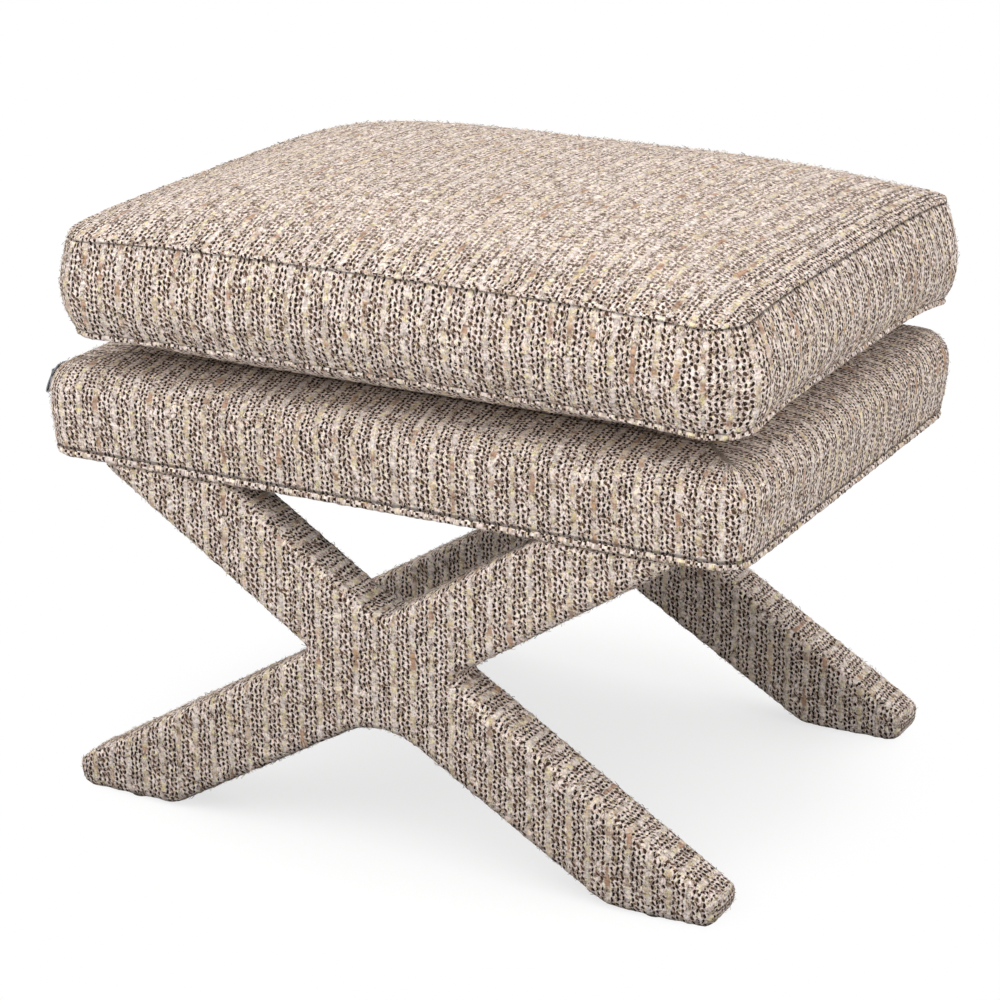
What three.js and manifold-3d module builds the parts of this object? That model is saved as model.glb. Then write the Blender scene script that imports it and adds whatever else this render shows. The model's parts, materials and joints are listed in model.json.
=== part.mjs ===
// An X-frame stool, upholstered all over in nubby tweed, with a loose box cushion on a firm seat base.
// Millimetres, +Z up. The origin is on the floor under the middle of the stool.
// +X runs along the long side. The front faces -Y.
import * as THREE from "three";
import { mergeVertices } from "three/addons/utils/BufferGeometryUtils.js";
import Module from "manifold-3d";

const wasm = await Module();
wasm.setup();

// Seat base
const baseWidth = 618;
const baseDepth = 446;
const baseUnderside = 291;
const baseSide = 76; // underside to where the top starts
const baseCorner = 28;
const baseShoulder = 25; // radius over the top edge
const baseTuck = 4; // how far each side draws in at the underside
const deckCrown = 14;
const baseFabric = 3;
const hemWidth = 18; // fabric turned in under the rails
const railFoam = 2; // foam between rail and fabric behind the welt
const railCorner = 20;
const deckThickness = 9;
const deckFoam = 10; // at the edges of the deck, under the crown
const ventRadius = 10;
const ventPitch = 95;
const boardThickness = 18;
const boardDepth = 62;
const blockSide = 46;
const blockFace = 12; // the square face left at each end of a corner block
const braceWidth = 22;
const dustCoverThickness = 1;

// Welts, the covered cords in the seams
const weltRadius = 3.5;
const weltInset = 1; // its middle lies this far inside the seam line

// Loose cushion
const cushionWidth = 584; // seam to seam, along the upper seam
const cushionDepth = 460;
const cushionBoxing = 80; // between the two seams
const cushionCorner = 37;
const cushionLowerInset = 3; // the lower seam lies this far inside the upper one
const cushionLowerCorner = 38;
const cushionBulge = 11; // how far the middle of the boxing stands out
const cushionDrawIn = 2; // how far the seams pull in between the corners
const cushionDroop = 4.5; // how far the upper seam sinks at its corners
const cushionCrown = 35;
const cushionBelly = 19.7; // how far the bottom panel hangs under its seam
const cushionFabric = 4;
const cushionCornerShare = 0.25; // of the bulge, at the corners
const cushionShiftX = 7.5; // the loose cushion lies a little to the right, as it was left
const cushionShiftY = -2;

// Zip along the rear boxing
const zipLength = 330;
const zipTapeWidth = 22;
const zipTapeThickness = 1.6;
const zipTeethWidth = 5;
const zipTeethHeight = 1.2;
const zipRecess = 1.6; // of the tape, under the face of the boxing
const sliderLength = 11;
const sliderWidth = 8;
const sliderHeight = 2.6;
const sliderNose = 5; // width of its narrow end
const sliderBridge = 1.2; // thickness of the loop on its back
const sliderShoulderShare = 0.55; // of its length, where it is at full width
const sliderLoopShares = [0.2, 0.8]; // of its length, where the loop stands

// X frames
const frameThickness = 45;
const notchHalf = 62.5; // centre to the side notch, where arm and leg meet
const notchHeight = 163.5;
const crotchHeight = 201; // where the upper edges of the arms would meet
const crotchRadius = 19;
const archHeight = 118; // where the lower edges of the legs would meet
const archRadius = 65;
const armSetback = 52; // from the end of the base to the lower edge of the arm, at the underside
const armWidth = 119; // along the underside
const toeReach = 14; // how far the sharp end of a leg, before rounding, passes the end of the base
const soleLength = 126; // from there to the inner end of the sole
const soleRadius = 30;
const toeRadius = 13;
const notchRadius = 4;
const frameEdge = 7; // rounding of the upholstered edges
const frameFabric = 3;
const frameFoam = 4;

// Fasteners and glides
const boltRadius = 3;
const boltLength = 35;
const boltFlangeRadius = 7;
const boltFlangeHeight = 2;
const boltHeadRadius = 5.6;
const boltHeadHeight = 6;
const insertRadius = 5;
const insertLength = 15;
const boltPlaceShares = [0.22, 0.78]; // of the width that an arm gives a bolt, from its upper edge
const glideRadius = 10;
const glideHeight = 3;
const glideNailRadius = 1.5;
const glideNailLength = 15; // into the plywood
const glidePlaceShare = 0.3; // of the sole, from its inner end

// Clearances
const gap = 0.3;
const overrun = 40;

// Counts
const arcSteps = 5; // round a corner
const sideSteps = 4; // along a side
const boxingSteps = 4; // up the cushion's side
const edgeSteps = 4; // over the edge of the deck
const crownPower = 4; // even; a higher one gives a flatter crown with steeper sides
const weltSides = 8;
const holeSides = 12;

// Derived heights
const baseShoulderHeight = baseUnderside + baseSide;
const deckTop = baseShoulderHeight + deckCrown;
const cushionBottom = deckTop + gap;
const lowerSeam = cushionBottom + cushionBelly;
const upperSeam = lowerSeam + cushionBoxing;
const railBottom = baseUnderside + baseFabric + gap;
const deckBoardTop = baseShoulderHeight - baseFabric - deckFoam;
const deckBottom = deckBoardTop - deckThickness;
const armTop = baseUnderside - gap;
const coreTop = railBottom - gap;

// Derived places of the base, as distances in from its outermost outline
const rabbetInset = baseTuck + weltRadius + gap;
const railInset = rabbetInset + baseFabric + railFoam;
const coreInset = frameFabric + frameFoam;
const frameFront = -baseDepth / 2 + baseTuck;
const coreThickness = frameThickness - 2 * coreInset;
const coreFront = frameFront + coreInset;
const panelThickness = (coreThickness - gap) / 2;
const innerPanelMiddle = coreFront + coreThickness - panelThickness / 2;
const railHalfX = baseWidth / 2 - railInset;
const railHalfY = baseDepth / 2 - railInset;
const railThickness = railHalfY + innerPanelMiddle - boltFlangeRadius - gap; // just clear of the bolt heads

// Derived reaches of an X frame, from its centre
const armOuterReach = baseWidth / 2 - armSetback;
const armInnerReach = armOuterReach - armWidth;
const toeCorner = baseWidth / 2 + toeReach;
const soleInner = toeCorner - soleLength;

const tweed = { color: 0xa8988a, roughness: 0.95, metalness: 0 };
const welt = { color: 0x9c8c7e, roughness: 0.95, metalness: 0 };
const foam = { color: 0xe3dcc2, roughness: 0.9, metalness: 0 };
const plywood = { color: 0xc9a878, roughness: 0.7, metalness: 0 };
const pine = { color: 0xd8b988, roughness: 0.75, metalness: 0 };
const lining = { color: 0x1d1c1b, roughness: 0.95, metalness: 0 };
const steel = { color: 0xb8babc, roughness: 0.35, metalness: 1 };
const nylon = { color: 0x3a3936, roughness: 0.5, metalness: 0 };
const zipCloth = { color: 0x8d8074, roughness: 0.85, metalness: 0 };

const stool = new THREE.Group();

// Solids and booleans

function solid(geometry) {
  const plain = geometry.index ? geometry.toNonIndexed() : geometry.clone();
  const bare = new THREE.BufferGeometry().setAttribute("position", plain.getAttribute("position"));
  const merged = mergeVertices(bare, 1e-4);
  return new wasm.Manifold(
    new wasm.Mesh({
      numProp: 3,
      vertProperties: merged.attributes.position.array,
      triVerts: new Uint32Array(merged.index.array),
    }),
  );
}

function geometryOf(made) {
  const mesh = made.getMesh();
  const geometry = new THREE.BufferGeometry();
  geometry.setAttribute("position", new THREE.BufferAttribute(mesh.vertProperties, 3));
  geometry.setIndex(new THREE.BufferAttribute(mesh.triVerts, 1));
  return geometry;
}

const cut = (geometry, ...tools) =>
  geometryOf(tools.reduce((left, tool) => left.subtract(solid(tool)), solid(geometry)));
const join = (geometry, ...others) =>
  geometryOf(others.reduce((sum, other) => sum.add(solid(other)), solid(geometry)));

function add(name, geometry, finish) {
  const shown = geometry.index ? geometry.toNonIndexed() : geometry;
  shown.computeVertexNormals();
  const mesh = new THREE.Mesh(shown, new THREE.MeshStandardMaterial(finish));
  mesh.name = name;
  stool.add(mesh);
  return mesh;
}

// A box between two corners.
function block([x0, y0, z0], [x1, y1, z1]) {
  const box = new THREE.BoxGeometry(Math.abs(x1 - x0), Math.abs(y1 - y0), Math.abs(z1 - z0));
  return box.translate((x0 + x1) / 2, (y0 + y1) / 2, (z0 + z1) / 2);
}

// A turned piece that stands along Z, from a profile of [radius, height] that starts low.
function turned(profile, segments) {
  const points = profile.map(([radius, height]) => new THREE.Vector2(radius, height));
  return new THREE.LatheGeometry(points, segments).rotateX(Math.PI / 2);
}

// Skins rings of equally many points. An open run starts and ends on a pole, and a closed one joins its ends.
function skin(rings, closed = false) {
  const count = Math.max(...rings.map((ring) => ring.length));
  const position = [];
  const put = (p) => position.push(...p);
  const at = (ring, j) => (ring.length === 1 ? ring[0] : ring[j % count]);
  const bands = closed ? rings.length : rings.length - 1;
  for (let i = 0; i < bands; i++) {
    const low = rings[i];
    const high = rings[(i + 1) % rings.length];
    for (let j = 0; j < count; j++) {
      if (low.length > 1) [at(low, j), at(low, j + 1), at(high, j + 1)].forEach(put);
      if (high.length > 1) [at(low, j), at(high, j + 1), at(high, j)].forEach(put);
    }
  }
  const geometry = new THREE.BufferGeometry();
  geometry.setAttribute("position", new THREE.Float32BufferAttribute(position, 3));
  return geometry;
}

// A rounded rectangle at one height. A bow moves each side's middle out, and a droop lowers the corners.
function ring(halfX, halfY, radius, z, bow = 0, droop = 0) {
  const signs = [[1, 1], [-1, 1], [-1, -1], [1, -1]];
  const onArc = (k, angle) => [
    signs[k % 4][0] * (halfX - radius) + radius * Math.cos(angle),
    signs[k % 4][1] * (halfY - radius) + radius * Math.sin(angle),
  ];
  const flat = [];
  for (let k = 0; k < 4; k++) {
    for (let i = 0; i <= arcSteps; i++) flat.push(onArc(k, ((k + i / arcSteps) * Math.PI) / 2));
    const from = flat.at(-1);
    const to = onArc(k + 1, ((k + 1) * Math.PI) / 2);
    for (let s = 1; s < sideSteps; s++) {
      flat.push(from.map((value, axis) => THREE.MathUtils.lerp(value, to[axis], s / sideSteps)));
    }
  }
  return flat.map(([x, y]) => [
    x + ((bow * x) / halfX) * (1 - (y / halfY) ** 4),
    y + ((bow * y) / halfY) * (1 - (x / halfX) ** 4),
    z - droop * ((x * y) / (halfX * halfY)) ** 4,
  ]);
}

// A crowned panel's rings, from its rim in to its pole. Rings near the rim follow its draw-in and droop.
function crownRings(halfX, halfY, corner, rim, crown, drawIn = 0, droop = 0) {
  const ringShares = [1, 0.94, 0.84, 0.66, 0.36];
  const rings = ringShares.map((share) => {
    const fade = share ** 3;
    const level = ring(halfX * share, halfY * share, corner * share, rim, -drawIn * fade, droop * fade);
    return level.map(([x, y, z]) => {
      const [awayX, awayY] = [(x / halfX) ** crownPower, (y / halfY) ** crownPower];
      return [x, y, z + crown * (1 - awayX) * (1 - awayY)];
    });
  });
  return [...rings, [[0, 0, rim + crown]]];
}

// Seat base

// A ring of the base, a distance in from its outermost outline.
function baseRing(inset, z) {
  return ring(baseWidth / 2 - inset, baseDepth / 2 - inset, baseCorner - inset / 2, z);
}


// The side and top of the base, moved in by an offset, from the height given up to the middle of the deck.
function baseSkinRings(offset, startHeight) {
  const rings = [];
  const rabbetTop = baseUnderside + 2 * weltRadius + gap + offset;
  rings.push(baseRing(rabbetInset + offset, startHeight));
  rings.push(baseRing(rabbetInset + offset, rabbetTop));
  rings.push(baseRing(baseTuck + offset, rabbetTop + gap));
  const middle = baseShoulderHeight - baseShoulder;
  const sideShares = [0.35, 0.7, 1];
  for (const share of sideShares) {
    const z = THREE.MathUtils.lerp(rabbetTop + gap, middle, share);
    rings.push(baseRing(baseTuck * (1 - share) ** 2 + offset, z));
  }
  const radius = baseShoulder - offset;
  for (let i = 1; i < edgeSteps; i++) {
    const angle = (i / edgeSteps) * (Math.PI / 2);
    rings.push(baseRing(offset + radius * (1 - Math.cos(angle)), middle + radius * Math.sin(angle)));
  }
  const [deckX, deckY] = [baseWidth / 2 - baseShoulder, baseDepth / 2 - baseShoulder];
  const deckCorner = baseCorner - baseShoulder / 2;
  return [...rings, ...crownRings(deckX, deckY, deckCorner, baseShoulderHeight - offset, deckCrown)];
}

// A prism with a rounded rectangle as its plan, inset from the outline of the base.
function basePrism(inset, corner, low, high) {
  const halfX = baseWidth / 2 - inset;
  const halfY = baseDepth / 2 - inset;
  const lowRing = ring(halfX, halfY, corner, low);
  const highRing = ring(halfX, halfY, corner, high);
  return skin([[[0, 0, low]], lowRing, highRing, [[0, 0, high]]]);
}

// X frames

// Where the two edges of an arm stand at a height, at the outside of the upholstery.
const armInner = (z) => (armInnerReach * (z - crotchHeight)) / (baseUnderside - crotchHeight);
const armOuter = (z) =>
  notchHalf + ((armOuterReach - notchHalf) * (z - notchHeight)) / (baseUnderside - notchHeight);

// The corners of the X, anticlockwise from the right arm's lower edge, each with its rounding.
function frameCorners() {
  const top = armTop + overrun;
  const right = [
    [toeCorner, glideHeight, toeRadius],
    [notchHalf, notchHeight, notchRadius],
    [armOuter(top), top, 0],
    [armInner(top), top, 0],
  ];
  const left = right.map(([x, z, radius]) => [-x, z, radius]).reverse();
  return [
    ...right,
    [0, crotchHeight, crotchRadius],
    ...left,
    [-soleInner, glideHeight, soleRadius],
    [0, archHeight, archRadius],
    [soleInner, glideHeight, soleRadius],
  ];
}

// Moves every edge of an anticlockwise outline in. Outer roundings shrink and inner ones grow.
function insetCorners(corners, inset) {
  const count = corners.length;
  const edges = corners.map(([x, z], i) => {
    const [nextX, nextZ] = corners[(i + 1) % count];
    const length = Math.hypot(nextX - x, nextZ - z);
    const [dx, dz] = [(nextX - x) / length, (nextZ - z) / length];
    return { x: x - dz * inset, z: z + dx * inset, dx, dz };
  });
  return corners.map(([, , radius], i) => {
    const before = edges[(i + count - 1) % count];
    const after = edges[i];
    const turn = before.dx * after.dz - before.dz * after.dx;
    const along = ((after.x - before.x) * after.dz - (after.z - before.z) * after.dx) / turn;
    const rounding = turn > 0 ? Math.max(radius - inset, radius / 4) : radius + inset;
    return [before.x + before.dx * along, before.z + before.dz * along, radius ? rounding : 0];
  });
}

// Turns corners with roundings into points, one step for about every 15 degrees of turn.
function roundedPoints(corners) {
  const count = corners.length;
  return corners.flatMap(([x, z, radius], i) => {
    if (!radius) return [new THREE.Vector2(x, z)];
    const corner = new THREE.Vector2(x, z);
    const into = corner.clone().sub(new THREE.Vector2(...corners[(i + count - 1) % count])).normalize();
    const out = new THREE.Vector2(...corners[(i + 1) % count]).sub(corner).normalize();
    const turn = Math.atan2(into.cross(out), into.dot(out));
    const reach = radius * Math.tan(Math.abs(turn) / 2);
    const start = corner.clone().addScaledVector(into, -reach);
    const toCentre = new THREE.Vector2(-into.y, into.x).multiplyScalar(Math.sign(turn) * radius);
    const centre = start.clone().add(toCentre);
    const steps = Math.max(2, Math.round(Math.abs(turn) / (Math.PI / 12)));
    return Array.from({ length: steps + 1 }, (_, s) =>
      start.clone().rotateAround(centre, (turn * s) / steps),
    );
  });
}

// A plate with the X's outline, from one distance behind the frame's face to another. side is 1 at the front.
function framePlate(side, inset, from, to, edge = 0) {
  const shape = new THREE.Shape(roundedPoints(insetCorners(frameCorners(), inset)));
  const plate = new THREE.ExtrudeGeometry(shape, {
    depth: to - from - 2 * edge,
    bevelEnabled: edge > 0,
    bevelThickness: edge,
    bevelSize: edge,
    bevelOffset: -edge,
    bevelSegments: 3,
  });
  plate.rotateX(Math.PI / 2);
  const back = frameFront + to - edge;
  const front = frameFront + from + edge;
  return plate.translate(0, side > 0 ? back : -front, 0);
}

const above = (z) => block([-baseWidth, -baseDepth, z], [baseWidth, baseDepth, z + baseDepth]);

// Where the two edges of an arm's plywood stand at a height.
function coreInner(z) {
  const slope = Math.atan2(baseUnderside - crotchHeight, armInnerReach);
  return armInner(z) + coreInset / Math.sin(slope);
}

function coreOuter(z) {
  const slope = Math.atan2(baseUnderside - notchHeight, armOuterReach - notchHalf);
  return armOuter(z) - coreInset / Math.sin(slope);
}

// The space of one arm's plywood where it passes the hem, grown by a clearance.
function armPassage(side, end) {
  const front = side * (coreFront - gap);
  const back = side * (coreFront + coreThickness + gap);
  const low = [end * (coreInner(baseUnderside) - gap), front, baseUnderside - overrun];
  return block(low, [end * (coreOuter(coreTop) + gap), back, coreTop + gap]);
}

const frameSides = { front: 1, rear: -1 };
const armEnds = { right: 1, left: -1 };

const glideX = THREE.MathUtils.lerp(soleInner, toeCorner, glidePlaceShare);
const glideY = coreFront + panelThickness / 2;
const coreSole = glideHeight + coreInset;

function nailHole(side, end) {
  const length = glideNailLength + coreInset + overrun;
  const hole = new THREE.CylinderGeometry(glideNailRadius + gap, glideNailRadius + gap, length, holeSides);
  hole.rotateX(Math.PI / 2);
  return hole.translate(end * glideX, side * glideY, coreSole + glideNailLength + gap - length / 2);
}

const nailHoles = (side) => Object.values(armEnds).map((end) => nailHole(side, end));

function frameCover(side) {
  const outside = framePlate(side, 0, 0, frameThickness, frameEdge);
  const hollow = framePlate(side, frameFabric, frameFabric, frameThickness - frameFabric);
  return cut(outside, hollow, above(armTop), ...nailHoles(side));
}

function frameWrap(side) {
  const skinGap = frameFabric + gap;
  const outside = framePlate(side, skinGap, skinGap, frameThickness - skinGap);
  const coreGap = coreInset - gap;
  const hollow = framePlate(side, coreGap, coreGap, frameThickness - coreGap);
  return cut(outside, hollow, above(armTop), ...nailHoles(side));
}

function outerPanel(side) {
  const panel = framePlate(side, coreInset, coreInset, coreInset + panelThickness);
  return cut(panel, above(coreTop), ...nailHoles(side));
}

// Bolts stand upright in each slanting arm, between its upper edge at the top and its lower edge at their tips.
function boltPlaces() {
  const [from, to] = [coreInner(coreTop), coreOuter(boltTip)];
  return boltPlaceShares.map((share) => THREE.MathUtils.lerp(from, to, share));
}

function boltHoles(side, radius, low, high) {
  return Object.values(armEnds).flatMap((end) =>
    boltPlaces().map((x) => {
      const hole = new THREE.CylinderGeometry(radius, radius, high - low, holeSides);
      return hole.rotateX(Math.PI / 2).translate(end * x, side * innerPanelMiddle, (low + high) / 2);
    }),
  );
}

const boardTop = railBottom + boardThickness;
const boltTip = boardTop + gap - boltLength;

function innerPanel(side) {
  const back = coreInset + coreThickness;
  const panel = framePlate(side, coreInset, back - panelThickness, back);
  const seats = boltHoles(side, insertRadius + gap, coreTop - insertLength - 2 * gap, coreTop + overrun);
  const shanks = boltHoles(side, boltRadius + gap, boltTip - gap, coreTop);
  return cut(panel, above(coreTop), ...seats, ...shanks);
}

function insert() {
  const bore = boltRadius + gap;
  const low = coreTop - gap - insertLength;
  const high = coreTop - gap;
  return turned([[bore, low], [insertRadius, low], [insertRadius, high], [bore, high], [bore, low]], holeSides);
}

function flangeBolt() {
  const seat = boardTop + gap;
  const flangeTop = seat + boltFlangeHeight;
  const shank = turned(
    [[0, boltTip], [boltRadius, boltTip], [boltRadius, seat], [boltFlangeRadius, seat],
      [boltFlangeRadius, seat + gap], [boltHeadRadius, flangeTop], [0, flangeTop]],
    holeSides,
  );
  const head = new THREE.CylinderGeometry(boltHeadRadius, boltHeadRadius, boltHeadHeight + gap, 6);
  head.rotateX(Math.PI / 2).translate(0, 0, flangeTop - gap + (boltHeadHeight + gap) / 2);
  return join(shank, head);
}

function glide() {
  const nailTop = coreSole + glideNailLength;
  const rim = glideRadius - glideHeight / 3;
  return turned(
    [[0, 0], [rim, 0], [glideRadius, glideHeight / 3], [glideRadius, glideHeight - gap],
      [glideNailRadius, glideHeight - gap], [glideNailRadius, nailTop - glideNailRadius], [0, nailTop]],
    16,
  );
}

// Carcass of the seat base

const hemTop = baseUnderside + baseFabric;
const railTop = deckBottom - gap;

function armPassages() {
  return Object.values(frameSides).flatMap((side) =>
    Object.values(armEnds).map((end) => armPassage(side, end)),
  );
}

function baseCover() {
  const outside = skin([[[0, 0, baseUnderside]], ...baseSkinRings(0, baseUnderside)]);
  const hollow = skin([[[0, 0, hemTop]], ...baseSkinRings(baseFabric, hemTop)]);
  const mouthInset = rabbetInset + hemWidth;
  const mouth = basePrism(mouthInset, railCorner, baseUnderside - overrun, hemTop + baseFabric);
  return cut(outside, hollow, mouth, ...armPassages());
}

function dustCover() {
  const inset = rabbetInset + hemWidth + gap;
  const high = railBottom - gap;
  return cut(basePrism(inset, railCorner, high - dustCoverThickness, high), ...armPassages());
}

function baseFoam() {
  const outside = skin([[[0, 0, railBottom]], ...baseSkinRings(baseFabric + gap, railBottom)]);
  const room = basePrism(railInset - gap, railCorner + gap, railBottom - overrun, deckBoardTop + gap);
  return cut(outside, room);
}

function longRail(side) {
  const plan = basePrism(railInset, railCorner, railBottom, railTop);
  const back = side * (railHalfY - railThickness);
  const far = -side * baseDepth;
  return cut(plan, block([-baseWidth, back, railBottom - overrun], [baseWidth, far, railTop + overrun]));
}

// A short rail fits between the long ones.
function shortRail(end) {
  const reach = railHalfY - railThickness - gap;
  const inner = end * (railHalfX - railThickness);
  const [low, high] = [railBottom - overrun, railTop + overrun];
  return cut(
    basePrism(railInset, railCorner, railBottom, railTop),
    block([inner, -baseDepth, low], [-end * baseWidth, baseDepth, high]),
    block([-baseWidth, reach, low], [baseWidth, baseDepth, high]),
    block([-baseWidth, -reach, low], [baseWidth, -baseDepth, high]),
  );
}

// A glued block in a corner of the frame, with its long face across the corner.
function cornerBlock(side, end) {
  const low = boardTop + gap;
  const x = railHalfX - railThickness - gap;
  const y = railHalfY - railThickness - gap;
  const outline = [
    [x, y],
    [x - blockSide, y],
    [x - blockSide, y - blockFace],
    [x - blockFace, y - blockSide],
    [x, y - blockSide],
  ];
  const plan = new THREE.Shape(outline.map(([px, py]) => new THREE.Vector2(end * px, -side * py)));
  const made = new THREE.ExtrudeGeometry(plan, { depth: railTop - low, bevelEnabled: false });
  return made.translate(0, 0, low);
}

// The board that an X frame bolts to, glued to the inside of its rail.
function mountingBoard(side) {
  const outer = -side * (railHalfY - railThickness - gap);
  const inner = outer + side * boardDepth;
  const reach = railHalfX - railThickness - gap;
  const board = block([-reach, outer, railBottom], [reach, inner, boardTop]);
  return cut(board, ...boltHoles(side, boltRadius + gap, railBottom - overrun, boardTop + overrun));
}

function centreBrace() {
  const reach = railHalfY - railThickness - gap;
  return block([-braceWidth / 2, -reach, boardTop + gap], [braceWidth / 2, reach, railTop]);
}

function deckBoard() {
  const board = basePrism(railInset, railCorner, deckBottom, deckBoardTop);
  const vents = [-1.5, -0.5, 0.5, 1.5].map((pitches) => {
    const vent = new THREE.CylinderGeometry(ventRadius, ventRadius, deckThickness + overrun, holeSides);
    return vent.rotateX(Math.PI / 2).translate(pitches * ventPitch, 0, deckBottom);
  });
  return cut(board, ...vents);
}

// Welts

// A cord sewn into a seam: a round section carried along a closed level path.
function weltAlong(path) {
  const count = path.length;
  const rings = path.map(([x, y, z], i) => {
    const [beforeX, beforeY] = path[(i + count - 1) % count];
    const [afterX, afterY] = path[(i + 1) % count];
    const length = Math.hypot(afterX - beforeX, afterY - beforeY);
    const [outX, outY] = [(afterY - beforeY) / length, (beforeX - afterX) / length];
    return Array.from({ length: weltSides }, (_, j) => {
      const angle = (-2 * Math.PI * j) / weltSides;
      const out = weltRadius * Math.cos(angle);
      return [x + outX * out, y + outY * out, z + weltRadius * Math.sin(angle)];
    });
  });
  return skin(rings, true);
}

function baseWelt() {
  return weltAlong(baseRing(baseTuck, baseUnderside + weltRadius));
}

function cushionWelt(share) {
  return weltAlong(boxingRing(weltInset, share, THREE.MathUtils.lerp(lowerSeam, upperSeam, share), -cushionDrawIn));
}

// Loose cushion

// A ring of the boxing, a distance in from the seam line. The share is 0 at the lower seam and 1 at the upper one.
function boxingRing(inset, share, z, bow) {
  const inside = inset + cushionLowerInset * (1 - share);
  const corner = THREE.MathUtils.lerp(cushionLowerCorner, cushionCorner, share) - inset / 2;
  return ring(cushionWidth / 2 - inside, cushionDepth / 2 - inside, corner, z, bow, cushionDroop * share);
}

// A panel inside its seam. The depth is up for the crown and down for the belly.
function panelRings(seat, share, edge, depth) {
  const inside = seat + cushionLowerInset * (1 - share);
  const corner = THREE.MathUtils.lerp(cushionLowerCorner, cushionCorner, share) - seat / 2;
  const [halfX, halfY] = [cushionWidth / 2 - inside, cushionDepth / 2 - inside];
  return crownRings(halfX, halfY, corner, edge, depth, cushionDrawIn, cushionDroop * share);
}

// The cushion's form moved in by an offset: belly, welt seats, bulged boxing and crown.
function cushionForm(offset) {
  const seat = weltInset + weltRadius + gap + offset;
  const rise = weltRadius + gap + offset;
  const boxing = Array.from({ length: boxingSteps + 1 }, (_, i) => {
    const share = i / boxingSteps;
    const bulge = cushionBulge * Math.sin(Math.PI * share);
    const inset = weltInset + offset - bulge * cushionCornerShare;
    const bow = bulge * (1 - cushionCornerShare) - cushionDrawIn * Math.abs(Math.cos(Math.PI * share));
    return boxingRing(inset, share, THREE.MathUtils.lerp(lowerSeam + rise, upperSeam - rise, share), bow);
  });
  return skin([
    ...panelRings(seat, 0, lowerSeam + offset, -cushionBelly).reverse(),
    boxingRing(seat, 0, lowerSeam + rise, -cushionDrawIn),
    ...boxing,
    boxingRing(seat, 1, upperSeam - rise, -cushionDrawIn),
    ...panelRings(seat, 1, upperSeam - offset, cushionCrown),
  ]);
}

const zipMiddle = (lowerSeam + upperSeam) / 2;
const boxingFace = cushionDepth / 2 - weltInset - cushionLowerInset / 2 + cushionBulge;
const tapeFace = boxingFace - zipRecess;

function cushionCover() {
  const halfSlot = zipLength / 2 + gap;
  const low = [-halfSlot, boxingFace - 2 * cushionFabric, zipMiddle - zipTapeWidth / 2 - gap];
  const high = [halfSlot, boxingFace + overrun, zipMiddle + zipTapeWidth / 2 + gap];
  return cut(cushionForm(0), cushionForm(cushionFabric), block(low, high));
}

function zipTape() {
  const half = zipLength / 2;
  const tapeLow = [-half, tapeFace - zipTapeThickness, zipMiddle - zipTapeWidth / 2];
  const tape = block(tapeLow, [half, tapeFace, zipMiddle + zipTapeWidth / 2]);
  const teethLow = [-half, tapeFace - zipTapeThickness / 2, zipMiddle - zipTeethWidth / 2];
  const teethHigh = [half, tapeFace + zipTeethHeight, zipMiddle + zipTeethWidth / 2];
  return join(tape, block(teethLow, teethHigh));
}

// The slider: a shield shape that tapers from its mouth to its nose, grooved for the teeth, with a loop on top.
function zipSlider() {
  const [mouth, nose] = [sliderWidth / 2, (zipTeethWidth + sliderNose) / 2];
  const shoulder = sliderLength * sliderShoulderShare;
  const outline = [[0, -nose], [shoulder, -mouth], [sliderLength, -mouth],
    [sliderLength, mouth], [shoulder, mouth], [0, nose]];
  const plan = new THREE.Shape(outline.map(([x, z]) => new THREE.Vector2(x, z)));
  const body = new THREE.ExtrudeGeometry(plan, { depth: sliderHeight, bevelEnabled: false });
  body.rotateX(Math.PI / 2).translate(0, tapeFace + gap + sliderHeight, 0);
  const grooveTop = tapeFace + zipTeethHeight + gap;
  const halfGroove = zipTeethWidth / 2 + gap;
  const groove = block([-overrun, tapeFace - overrun, -halfGroove], [overrun, grooveTop, halfGroove]);
  const back = tapeFace + gap + sliderHeight;
  const [loopStart, loopEnd] = sliderLoopShares.map((share) => sliderLength * share);
  const loopLow = [loopStart, back - gap, -sliderBridge / 2];
  const loop = block(loopLow, [loopEnd, back + 2 * sliderBridge, sliderBridge / 2]);
  const eyeLow = [loopStart + sliderBridge, back, -sliderWidth];
  const eye = block(eyeLow, [loopEnd - sliderBridge, back + sliderBridge, sliderWidth]);
  return cut(join(body, cut(loop, eye)), groove).translate(zipLength / 2 - sliderLength, 0, zipMiddle);
}

// Assembly

add("base_cover", baseCover(), tweed);
add("base_welt", baseWelt(), welt);
add("base_foam", baseFoam(), foam);
add("deck_board", deckBoard(), plywood);
add("centre_brace", centreBrace(), pine);
add("dust_cover", dustCover(), lining);
for (const [sideName, side] of Object.entries(frameSides)) {
  add(`${sideName}_rail`, longRail(-side), pine);
  add(`${sideName}_mounting_board`, mountingBoard(side), plywood);
  add(`${sideName}_x_cover`, frameCover(side), tweed);
  add(`${sideName}_x_wrap`, frameWrap(side), foam);
  add(`${sideName}_x_outer_panel`, outerPanel(side), plywood);
  add(`${sideName}_x_inner_panel`, innerPanel(side), plywood);
  for (const [endName, end] of Object.entries(armEnds)) {
    add(`${sideName}_${endName}_corner_block`, cornerBlock(side, end), pine);
    add(`${sideName}_${endName}_glide`, glide().translate(end * glideX, side * glideY, 0), nylon);
    boltPlaces().forEach((x, i) => {
      const name = `${sideName}_${endName}_${i ? "outer" : "inner"}`;
      add(`${name}_bolt`, flangeBolt().translate(end * x, side * innerPanelMiddle, 0), steel);
      add(`${name}_insert`, insert().translate(end * x, side * innerPanelMiddle, 0), steel);
    });
  }
}
for (const [endName, end] of Object.entries(armEnds)) add(`${endName}_rail`, shortRail(end), pine);

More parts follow.
